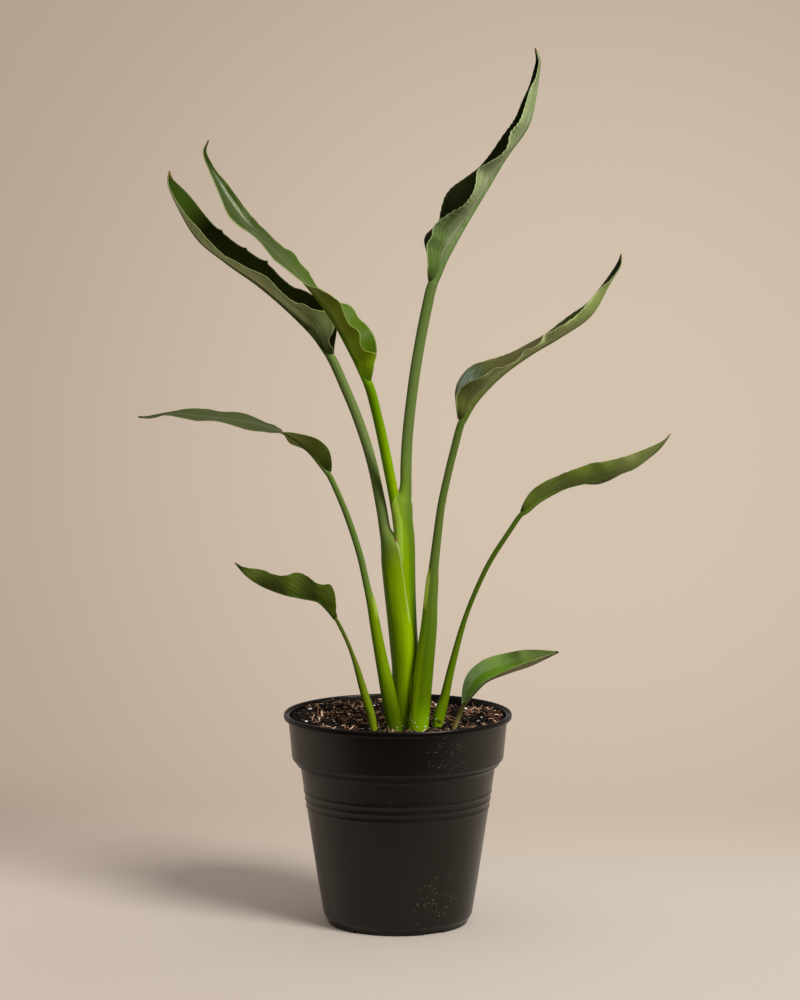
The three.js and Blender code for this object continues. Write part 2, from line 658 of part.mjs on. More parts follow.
function soilGeometry(holes) {
  const inner = innerWall(gap);
  const topRadius = collarTopRadius - wall - gap - soilEdge;
  const rings = soilRings.map((radius) => [radius, soilTop]);
  const profile = [[0, inner[0][1]], ...inner, [topRadius, soilTop], ...rings, [0, soilTop]];
  const geometry = turned(profile, potSegments);
  const spots = geometry.attributes.position;
  for (let i = 0; i < spots.count; i += 1) {
    if (Math.abs(spots.getZ(i) - soilTop) < 1e-3) spots.setZ(i, soilHeight(spots.getX(i), spots.getY(i)));
  }
  let soil = toSolid(geometry);
  for (const hole of holes) soil = soil.subtract(hole);
  return toGeometry(soil);
}

const object = new THREE.Group();
const { result, wrapped } = petioles();
object.add(named('pot', potGeometry(), 0x1c1a18, 0.55));
object.add(named('soil', soilGeometry([...wrapped, rhizomeSolid(gap)]), 0x3a2618, 0.95));
object.add(named('rhizome', toGeometry(rhizomeSolid(0)), 0xb89a6a, 0.8));
for (const { leaf, solid } of result) {
  object.add(named(`petiole_${leaf.name}`, toGeometry(solid), 0x6f9a2e, 0.5));
  object.add(named(`blade_${leaf.name}`, bladeGeometry(leaf), 0x2f4f17, 0.45));
}

export default object;
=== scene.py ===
import math

import bmesh
import bpy
import numpy as np
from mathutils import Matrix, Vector, noise


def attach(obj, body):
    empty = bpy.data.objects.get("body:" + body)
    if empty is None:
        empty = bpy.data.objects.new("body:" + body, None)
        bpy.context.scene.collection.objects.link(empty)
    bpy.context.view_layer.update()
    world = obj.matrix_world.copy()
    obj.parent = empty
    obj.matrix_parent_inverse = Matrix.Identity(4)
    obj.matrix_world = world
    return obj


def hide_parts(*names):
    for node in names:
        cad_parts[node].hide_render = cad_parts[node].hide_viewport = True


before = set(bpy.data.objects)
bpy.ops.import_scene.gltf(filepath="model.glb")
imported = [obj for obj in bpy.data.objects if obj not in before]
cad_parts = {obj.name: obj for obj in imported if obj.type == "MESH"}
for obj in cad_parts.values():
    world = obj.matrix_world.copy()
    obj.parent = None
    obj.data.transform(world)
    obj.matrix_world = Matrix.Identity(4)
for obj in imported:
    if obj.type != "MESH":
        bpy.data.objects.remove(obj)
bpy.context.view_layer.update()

# Sizes are in millimetres, and MM takes them to the metres of the frame.
MM = 0.001

# Camera, fitted to the ellipses of the pot's rim and foot
CAMERA_PLACE = (1.64, -2500, 593)
CAMERA_PITCH = 0.110
CAMERA_REACH = 100
FOCAL_PIXELS = 3401
IMAGE_LONG_SIDE = 1000
SENSOR_WIDTH = 36

# Light: a broad key from the front right, in a dim room with a bright ceiling
KEY_FROM = (0.57, -0.57, 0.59)
KEY_ANGLE = 24
KEY_STRENGTH = 3.77
KEY_COLOUR = (1.0, 0.985, 0.955)
ROOM_COLOUR = (1.0, 0.913, 0.857)
ROOM_STRENGTH = 0.546
ROOM_LEAST = 0.45
FRONT_DIMMING = 0.9

# Backdrop: a soft pool of light behind the plant. Its colour goes by the way out from a fixed
# place in the room, and far from the pot the floor's does too, so they meet without a line.
POOL_ORIGIN = (1.64, -2500, 593)
POOL_WAY = (0.0585, 0.9936, -0.0965)
POOL_EDGES = (0.03, 0.24)
POOL_BRIGHT = (211, 194, 174)
POOL_DIM = (179, 161, 145)

# Floor: a square of 60 m, near the pot painted darker to its left and lighter to its right, as painted
# shade and painted light. The pairs are where one colour gives way to the next, in metres from the
# pot, to its right, behind it and around it.
FLOOR_HALF = 30
FLOOR_SHADED_LEFT = (206, 191, 177)
FLOOR_LIT_RIGHT = (216, 203, 188)
FLOOR_SIDES = (-0.25, 0.2)
FLOOR_BEHIND = (0.02, 0.5)
FLOOR_AROUND = (0.6, 1.8)
FLOOR_LIGHT = (1.379, 1.313, 1.251)
# Painted shade on the floor in front of the pot, seen only in reflections and bounced light: where it
# begins and ends, and how dark
FLOOR_FRONT_EDGE = (-0.12, -0.37)
FLOOR_FRONT_PAINTED_SHADE = 0.97

# Pot
POT_HEIGHT = 158
RIM_RADIUS = 85
BEAD_HEIGHT = 4.4
BEAD_HALF_WIDTH = 1.1
COLLAR_TOP_RADIUS = 81.5
COLLAR_BOTTOM_RADIUS = 78.7
COLLAR_BOTTOM = 124
SHOULDER_STEP = 120.6
SHOULDER_BOTTOM = 117.4
BODY_BOTTOM_RADIUS = 55.6
BODY_BOTTOM = 4.4
BODY_TAPER = 0.1496
WALL = 1.3
FLOOR_THICKNESS = 1.8
FOOT_OUTER_RADIUS = 52.4
FOOT_INNER_RADIUS = 49
FOOT_HEIGHT = 2.4
PAD_RADIUS = 15
RIDGE_HEIGHTS = (88, 93.7, 99.4)
RIDGES_FROM = 30
RIDGES_TO = 104
RIDGE_HALF_HEIGHT = 1.9
RIDGE_PROUD = 0.45
DRAIN_HOLES = 6
DRAIN_HOLE_RADIUS = 4.5
DRAIN_HOLE_RING = 34
DRAIN_HOLE_SIDES = 32
CUTTER_DEPTH = 12
NOTCHES = 6
NOTCH_WIDTH = 16
NOTCH_HEIGHT = 1.6
POT_SEGMENTS = 192
POT_CREASE = 50

# Soil, with its banks as x, y, height and half width
SOIL_TOP = 146
SOIL_GAP = 0.3
SOIL_RINGS = 80
SOIL_SEGMENTS = 260
SOIL_BANKS = (
    (-54, 44, 12.5, 20), (-74, 6, 8.5, 15), (-56, -38, 3, 16), (66, 22, 9, 20),
    (74, -8, 6, 15), (50, -46, 2.5, 16), (30, 62, 6, 18), (-8, 70, 7.5, 14),
    (-28, 14, -4.5, 13), (4, -26, -1.8, 20), (-18, -54, 1.5, 12),
)

# Loose splinters on the soil: piece, seed, count, lengths and half widths
FIBRES = ("soil_fibres", 11, 3400, (2, 7), (0.2, 0.45))
SPLINTERS = ("soil_splinters", 12, 820, (5, 14), (0.4, 0.8))
BARE_PATCHES = -0.16

# Lumps on the soil: count, how far out they lie, sizes, and how far they stand out
PLACES_SEED = 5
BARK = (430, 76, (0.8, 2.0), 0.2)
SMALL_PERLITE = (60, 74, (0.35, 0.8), 0.8)
BARK_SEED = 7
PERLITE_SEED = 9

# The larger grains of perlite: x, y and size
LARGE_PERLITE = (
    (-37, 30, 1.2), (-18, 60, 0.9), (29, 58, 1.7), (2, -13, 0.9), (51, 32, 1.4), (59, 30, 1),
    (35, -29, 0.8), (-21, -29, 1.3), (-66, 20, 1.3), (-68, -6, 1.1), (-14, -40, 1.6),
)

# Specks of perlite on each sheath's foot: leaf and count, and how high up and how large they are
GRIT_SEED = 21
GRIT_ON = (("tall_left", 10), ("right", 16), ("drooping_left", 9), ("low_right", 4))
GRIT_HEIGHT = 11
GRIT_SIZES = (0.3, 0.68)

# Blades
BLADE_THICKNESS = 0.7
MARGIN_THICKNESS = 0.42
BLADE_ROWS = 260
HALF_COLUMNS = 30
DEPTH_EASING = 6
WIDEST_POINT = 0.4
RIB_SPREAD = 1.25
FOLD_HEIGHT = 0.16
FOLDS_ACROSS = 9
FOLDS_ALONG = 26
VEINS_ACROSS = 26.0
VEINS_ALONG = 64.0

# Stalks, with the heights between which their groove grows
STALK_SIDES = 80
STALK_RINGS = 200
SHEATH_RUN = 18
SHEATH_START = 12
GROOVE_HEIGHTS = (210, 330)
FIBRES_AROUND = 4
FIBRES_ALONG = 0.04

# The place from which the leaves were measured, and the steps along a curve that measure it
VIEWPOINT = np.array([0.0, -2500.0, 593.0])
CURVE_STEPS = 801


# The leaves. side is 1 where a blade leans left, and -1 where it leans right. midrib holds
# [x, y, z], and near and far hold [share along, height over the midrib] of the margins towards
# the viewpoint and away from it, as they look from there. belly is how round a half bulges.
# petiole holds [x, y, z, half width, half depth] from the rhizome up.
LEAVES = [
    {
        "name": "tall_left",
        "side": 1,
        "halfWidth": 29,
        "ribDepth": 2.6,
        "belly": 0.55,
        "midrib": [
            [-50, 30, 421], [-61, 34, 436], [-81.5, 38.5, 456], [-103.5, 42.5, 474], [-127, 46, 490],
            [-149.5, 49, 508], [-164.5, 52, 532], [-172, 55, 550], [-171, 57, 558.5],
        ],
        "near": [
            [0, 2], [0.02, 4.6], [0.04, 4.6], [0.06, 6.4], [0.076, 12.8], [0.105, 17.6], [0.14, 17.8],
            [0.17, 13.4], [0.19, 11.5], [0.22, 10.2], [0.245, 7.2], [0.28, 5.9], [0.33, 6.1], [0.36, 7.1],
            [0.4, 7.8], [0.47, 5.3], [0.53, 4.3], [0.58, 3], [0.66, 4.6], [0.73, 5.1],
            [0.81, 2.4], [0.89, 0.6], [1, 0],
        ],
        "far": [
            [0, 3], [0.03, 7.4], [0.064, 13.8], [0.1, 20.2], [0.165, 22.8], [0.226, 19.6], [0.26, 17.8],
            [0.295, 14.7], [0.36, 14.6], [0.4, 16], [0.46, 16], [0.52, 16.2], [0.55, 15.7], [0.58, 15.6],
            [0.62, 16], [0.67, 15.8], [0.73, 15.4], [0.79, 14.1], [0.85, 12.2], [0.9, 9.6],
            [0.95, 5.6], [1, 0.3],
        ],
        "petiole": [
            [6, 6, 120.3, 7.5, 7.5], [5.5, 6, 147, 8.3, 8.5], [4.6, 5, 172, 8.8, 9.5],
            [4.2, 4, 192, 8.7, 9.7], [3.3, 3, 208, 9.3, 9.7], [0.9, 2, 228, 8.8, 9.6],
            [-2.1, 2, 249, 8.1, 9.3], [-4.2, 2, 269, 8, 8.6], [-5.8, 2, 284, 7, 7.6],
            [-9.3, 3, 294.5, 4.6, 5.2], [-11.7, 5, 309, 4.2, 4.2], [-19.5, 11, 345, 3.9, 4],
            [-29.2, 19, 374.5, 3.8, 3.9], [-38.4, 24.5, 396.5, 3.7, 3.8],
        ],
    },
    {
        "name": "twisted_left",
        "side": 1,
        "halfWidth": 27,
        "ribDepth": 2.2,
        "belly": 0.5,
        "midrib": [
            [-21.5, -25, 405], [-31, -29, 424], [-47, -34.5, 453], [-67, -39, 479.5], [-90, -43, 503],
            [-114, -46.5, 526], [-131, -50.5, 553.5], [-139, -54, 573], [-135, -58, 582],
        ],
        "near": [
            [0, 2], [0.028, 6.9], [0.055, 11], [0.077, 14.8], [0.092, 11.6], [0.108, 8.4], [0.135, 8.3],
            [0.158, 11], [0.177, 11.1], [0.203, 8.2], [0.229, 8.2], [0.253, 9.2], [0.277, 10.5], [0.3, 9.8],
            [0.36, 4.3], [0.385, 0.5], [0.424, -2], [0.483, -3.4], [0.53, -4.5], [0.57, -3.4],
            [0.606, -1.9], [0.65, -2.4], [0.7, -4.6], [0.72, -5], [0.75, -4.6], [0.79, -3], [0.84, -1.6],
            [0.9, -0.6], [1, 0],
        ],
        "far": [
            [0, 3], [0.04, 5.6], [0.056, 10.2], [0.075, 15], [0.109, 18.5], [0.141, 19.7], [0.176, 18.8],
            [0.208, 16.4], [0.239, 16.6], [0.26, 15], [0.28, 11], [0.3, 9.8], [0.33, 7.6], [0.362, 4.8],
            [0.4, 5.6], [0.43, 6], [0.466, 6.9], [0.49, 8.6], [0.514, 8.1], [0.531, 6.7], [0.59, 6.5],
            [0.64, 7.2], [0.69, 7.8], [0.756, 7.8], [0.825, 6.4], [0.872, 4], [0.911, 3.3],
            [0.94, 2.6], [1, 0.3],
        ],
        "petiole": [
            [10, 5, 120.3, 3.2, 3.2], [10.2, 5, 147, 3.3, 3.3], [9, 4, 174, 3.5, 3.5],
            [7.3, 3, 206, 3.7, 3.7], [4.8, 1.5, 249, 3.8, 3.8], [1.6, 0.5, 286, 3.8, 3.8],
            [-0.8, 0, 307, 3.9, 3.9], [-3, -1.5, 321, 4, 4], [-7.9, -6.5, 347, 4, 4],
            [-14.1, -14, 377, 3.8, 3.8],
        ],
    },
    {
        "name": "tallest_right",
        "side": -1,
        "halfWidth": 29,
        "ribDepth": 3,
        "belly": 0.55,
        "midrib": [
            [25.5, 6, 476], [33.5, 7, 493.5], [47.5, 8, 518.5], [63, 9, 543.5], [78.5, 10, 568.5],
            [95.5, 11, 592.5], [100.5, 12, 611.5], [103.5, 12, 630.5], [104, 11, 640], [100.5, 10, 648.5],
        ],
        "near": [
            [0, 3.2], [0.03, 6.6], [0.06, 9], [0.085, 12], [0.1, 13.6], [0.124, 16.1], [0.158, 15.9],
            [0.186, 17.9], [0.219, 16.8], [0.272, 11.9], [0.313, 7.4], [0.366, 6.1], [0.411, 8],
            [0.45, 11.7], [0.47, 11.5], [0.507, 7.5], [0.551, 3.4], [0.589, 3.1], [0.616, 5.7],
            [0.642, 7.7], [0.692, 6.8], [0.741, 6.4], [0.791, 5.6], [0.841, 4.6], [0.886, 1.8], [1, 0.3],
        ],
        "far": [
            [0, 2], [0.03, 3.6], [0.066, 6.8], [0.1, 14], [0.129, 19.1], [0.153, 20.2], [0.185, 18.4],
            [0.222, 17.3], [0.261, 20], [0.309, 22.4], [0.351, 21.6], [0.412, 16.8], [0.475, 12.2],
            [0.55, 10.4], [0.633, 11.1], [0.754, 9.9], [0.848, 5.9], [0.903, 4.3], [0.96, 2.6], [1, 0.3],
        ],
        "petiole": [
            [10, 5, 120.3, 5.5, 6], [10.5, 5, 147, 6, 6.8], [9.6, 4, 174, 6.6, 7.6], [8.2, 3, 206, 7, 8],
            [7.3, 2, 221, 7, 8], [5.9, 1, 249, 7.3, 7.9], [4.6, 0, 286, 7.9, 7.4], [3.4, 0, 301, 7.7, 7],
            [2.9, 0, 309, 8, 6.8], [3.2, 0, 316, 7.4, 6.3], [4.9, 0, 321.5, 5.4, 5.2],
            [5.7, 0, 329, 4.5, 4.6], [5.8, 0, 340, 4.4, 4.4], [6.7, 1, 361, 4.2, 4.2],
            [9.7, 2, 390.5, 4.1, 4.1], [14, 3, 421, 4.1, 4.1],
            [20.8, 5, 457, 4.1, 4.1],
        ],
    },
    {
        "name": "right",
        "side": -1,
        "halfWidth": 27,
        "ribDepth": 2.4,
        "belly": 0.55,
        "midrib": [
            [47, -16, 376.5], [56, -18, 391.5], [74, -20.5, 410.5], [96, -22.5, 426.5], [118, -24.5, 439.5],
            [140, -27, 455], [153.5, -30, 478], [161.5, -34, 492], [161.5, -38, 500],
        ],
        "near": [
            [0, 3], [0.04, 8.6], [0.073, 12.7], [0.091, 13.6], [0.118, 13.5], [0.161, 10.9], [0.202, 7.4],
            [0.25, 6.4], [0.287, 2.8], [0.331, 1], [0.362, 1.4], [0.396, 3.8], [0.43, 2.3], [0.469, 3.3],
            [0.494, 6.6], [0.508, 6.6], [0.54, 5.5], [0.572, 5.3], [0.623, 6], [0.732, 6.9], [0.823, 3.8],
            [0.871, 0.5], [1, 0],
        ],
        "far": [
            [0, 3.7], [0.05, 10.2], [0.1, 17], [0.15, 19.4], [0.2, 18.8], [0.25, 14.6], [0.3, 10.5],
            [0.36, 7.9], [0.46, 6.7], [0.52, 7.3], [0.6, 9], [0.66, 9.5], [0.75, 7], [0.85, 3.8], [0.95, 3],
            [1, 0.3],
        ],
        "petiole": [
            [14, -4, 120.3, 5, 5], [15.2, -6, 147, 7.4, 6.2], [18.2, -6, 180, 7.3, 6.6],
            [21, -7, 206, 6.7, 6.4], [23, -8, 224, 6, 6.2], [24.2, -8.5, 243, 5.2, 5.6],
            [25.4, -9, 258, 4.7, 5], [26.3, -9.5, 267, 3.8, 4.3], [29, -10.5, 291, 3.3, 3.4],
            [31.9, -11.5, 314, 3, 3.1], [36.2, -12.7, 335, 2.9, 2.9], [41, -14, 355, 2.9, 2.9],
        ],
    },
    {
        "name": "low_right",
        "side": -1,
        "halfWidth": 20,
        "ribDepth": 1.8,
        "belly": 0.45,
        "midrib": [
            [92.5, 16, 305], [108, 18.5, 316.5], [125.5, 21, 324.5], [150.5, 24, 330], [175.5, 26, 338],
            [191.5, 28.5, 350], [204, 33, 363],
        ],
        "near": [
            [0, 2.3], [0.05, 5.8], [0.12, 8.8], [0.2, 9.6], [0.3, 9.9], [0.4, 11.5], [0.48, 12.8],
            [0.55, 11.5], [0.65, 10.8], [0.75, 8.9], [0.85, 5], [0.95, 0.7], [1, 0.2],
        ],
        "far": [
            [0, -1], [0.025, -2.4], [0.1, -2], [0.16, -2], [0.24, -1.8], [0.31, -0.7], [0.38, -0.4],
            [0.437, -2.3], [0.487, -3.5], [0.542, -3.1], [0.59, -1.8], [0.65, -0.3], [0.68, -1],
            [0.765, -0.9], [0.816, -1.1], [0.89, -1.5], [0.957, -1], [1, -0.1],
        ],
        "petiole": [
            [26, 0, 120.3, 3.4, 3.6], [29.1, -1, 145, 3.8, 4.4], [31.3, -1, 157, 4.5, 4.6],
            [34.7, -1, 169, 3.5, 4.1], [38.7, -1, 187, 2.9, 3.5], [43.5, 0, 206, 2.4, 2.8],
            [47.1, 1.5, 219, 2.1, 2.3], [51, 3, 231, 1.8, 2], [58, 5, 248.5, 1.8, 1.9],
            [68.3, 9, 269.5, 1.9, 2], [82, 13, 290.5, 1.9, 2],
        ],
    },
    {
        "name": "drooping_left",
        "side": 1,
        "halfWidth": 21,
        "ribDepth": 1.6,
        "belly": 0.2,
        "midrib": [
            [-51, -16, 338], [-65, -19.5, 355.5], [-77, -21.5, 365.5], [-91.5, -23, 372],
            [-113.5, -25.5, 377.5], [-144, -29, 381.5], [-167, -32, 383.5], [-182, -35, 381],
            [-188.5, -38, 381.5],
        ],
        "near": [
            [0, 3], [0.027, 6.5], [0.074, 10.4], [0.116, 11.3], [0.167, 9.6], [0.228, 4.9], [0.287, 0.9],
            [0.335, -2.5], [0.373, -3.7], [0.466, -5.4], [0.556, -3.6], [0.644, -2.3], [0.695, -3.3],
            [0.738, -3.3], [0.806, -2.2], [0.873, -0.7], [0.927, -0.9], [1, 0],
        ],
        "far": [
            [0, -0.5], [0.1, -0.8], [0.17, -2], [0.24, -4.6], [0.28, -2.4], [0.32, 1.7], [0.4, 3],
            [0.5, 5.9], [0.6, 5.1], [0.7, 5.6], [0.77, 4.2], [0.85, 1.3], [0.95, 1.2], [1, 0.7],
        ],
        "petiole": [
            [0, -5, 120.3, 4.2, 4.2], [-2.1, -8, 145, 5.2, 5], [-3.7, -8.5, 156, 5.9, 5.4],
            [-6, -9, 168, 5.8, 5.6], [-8.4, -9.5, 181, 5.4, 5.4], [-11.9, -10, 198, 4.6, 4.8],
            [-16.1, -11, 221, 4, 4.2], [-19.3, -12, 240, 3.5, 3.6], [-22.2, -12.5, 252, 2.7, 2.8],
            [-28, -13.3, 278, 2.5, 2.6], [-37.5, -14.7, 307.5, 2.4, 2.5], [-45.3, -15.6, 326.5, 2.2, 2.4],
        ],
    },
    {
        "name": "low_left",
        "side": 1,
        "halfWidth": 19,
        "ribDepth": 1.2,
        "belly": 0.35,
        "midrib": [
            [-46, -15, 230.5], [-51.5, -17, 237.5], [-58.5, -18.5, 244], [-70.5, -21, 247],
            [-84, -22.5, 250], [-100.5, -26.5, 257], [-111, -29.5, 264.5], [-119, -34, 274.5],
        ],
        "near": [
            [0, 1.6], [0.03, 2.4], [0.089, 7.2], [0.141, 10.7], [0.175, 13.4], [0.198, 14.9], [0.22, 12.5],
            [0.251, 12.4], [0.295, 14.5], [0.366, 16.9], [0.409, 17.3], [0.451, 16.7], [0.505, 14.3],
            [0.577, 11.6], [0.654, 10.9], [0.73, 10.6], [0.809, 8.6], [0.887, 4.8], [0.949, 1.4], [1, 0],
        ],
        "far": [[0, 2], [0.1, 5], [0.3, 9], [0.5, 9.5], [0.75, 6.5], [0.9, 3], [1, 0.2]],
        "petiole": [
            [-12, -4, 120.3, 2.6, 2.6], [-17.6, -6, 146, 2.6, 2.6], [-19.9, -6.5, 157, 3.1, 3],
            [-25.3, -8, 175, 2.9, 2.9], [-30.2, -9.5, 192.5, 2.2, 2.4], [-33.3, -10.5, 202, 1.6, 1.7],
            [-38, -12.5, 214.5, 1.4, 1.5],
        ],
    },
    {
        "name": "small_right",
        "side": -1,
        "halfWidth": 17,
        "ribDepth": 1,
        "belly": 0.4,
        "midrib": [
            [48.5, -10, 164.5], [56.5, -12, 174.5], [65.5, -14.5, 183.5], [81.5, -17.5, 190.5],
            [97.5, -22, 196.5], [108, -26, 202], [118, -32, 208],
        ],
        "near": [[0, 0], [0.1, 0.7], [0.3, 0.5], [0.5, 1.8], [0.65, 3], [0.8, 2.6], [0.95, 0.9], [1, 0]],
        "far": [
            [0, 1.5], [0.05, 4.8], [0.1, 7.9], [0.15, 10.6], [0.2, 12.4], [0.27, 14], [0.4, 15.3],
            [0.55, 14], [0.7, 12.5], [0.8, 9.5], [0.9, 5.2], [1, 0.7],
        ],
        "petiole": [[34, -5, 120.3, 2.2, 2.2], [42, -8, 147, 2, 2], [45.4, -9, 156.6, 1.8, 1.8]],
    },
]

# Tones of the soil's loose bits, each from dark through middle to light
FIBRE_TONES = ((16, 9, 6), (106, 64, 40), (238, 194, 154))
SPLINTER_TONES = ((30, 17, 11), (156, 102, 68), (244, 206, 168))
BARK_TONES = ((10, 7, 5), (34, 22, 15), (90, 62, 45))
PERLITE_TONES = ((196, 190, 178), (228, 223, 212), (246, 243, 236))

# The pot's gloss, and where dust lies thickest on it: a place and a radius
WARM_GLOSS = (1.0, 0.93, 0.84, 1.0)
DUSTY_PLACES = (((34, -71, 140), 26), ((30, -54, 26), 30), ((-10, -80, 148), 9))

# Marks on the sheaths: colour, strength, where they fade in half widths, and at the ends in mm.
# lit is painted light down a sheath's side that the key does not reach, and painted_glow is painted
# light in the crevice between two sheaths, over a paler strip; the rest are the sheaths' own colours.
MARK_KINDS = {
    "pale": ((180, 192, 110), 0.6, (1.5, 0.4), 2.0),
    "patch": ((156, 182, 70), 0.75, (2.4, 0.0), 6.0),
    "hood": ((178, 214, 72), 0.85, (1.7, 0.5), 8.0),
    "lit": ((208, 234, 92), 0.9, (2.2, 0.3), 6.0),
    "painted_glow": ((156, 192, 0), 0.4, (2.2, 0.1), 10.0),
    "papery": ((96, 88, 28), 0.85, (1.6, 0.5), 3.0),
    "brown": ((112, 66, 38), 0.95, (1.5, 0.4), 0.4),
    "soil": ((44, 32, 14), 0.85, (1.8, 0.3), 0.8),
    "spot": ((16, 12, 6), 1.0, (1.5, 0.4), 0.4),
}

# What leaves look like, save where their own looks say otherwise
PLAIN_LOOKS = {
    "wax": 0.1, "veins": 1.0, "paintedSideRange": (-3.6, 1.5),
    "cusps": {}, "teeth": {}, "bands": [], "marks": [],
}
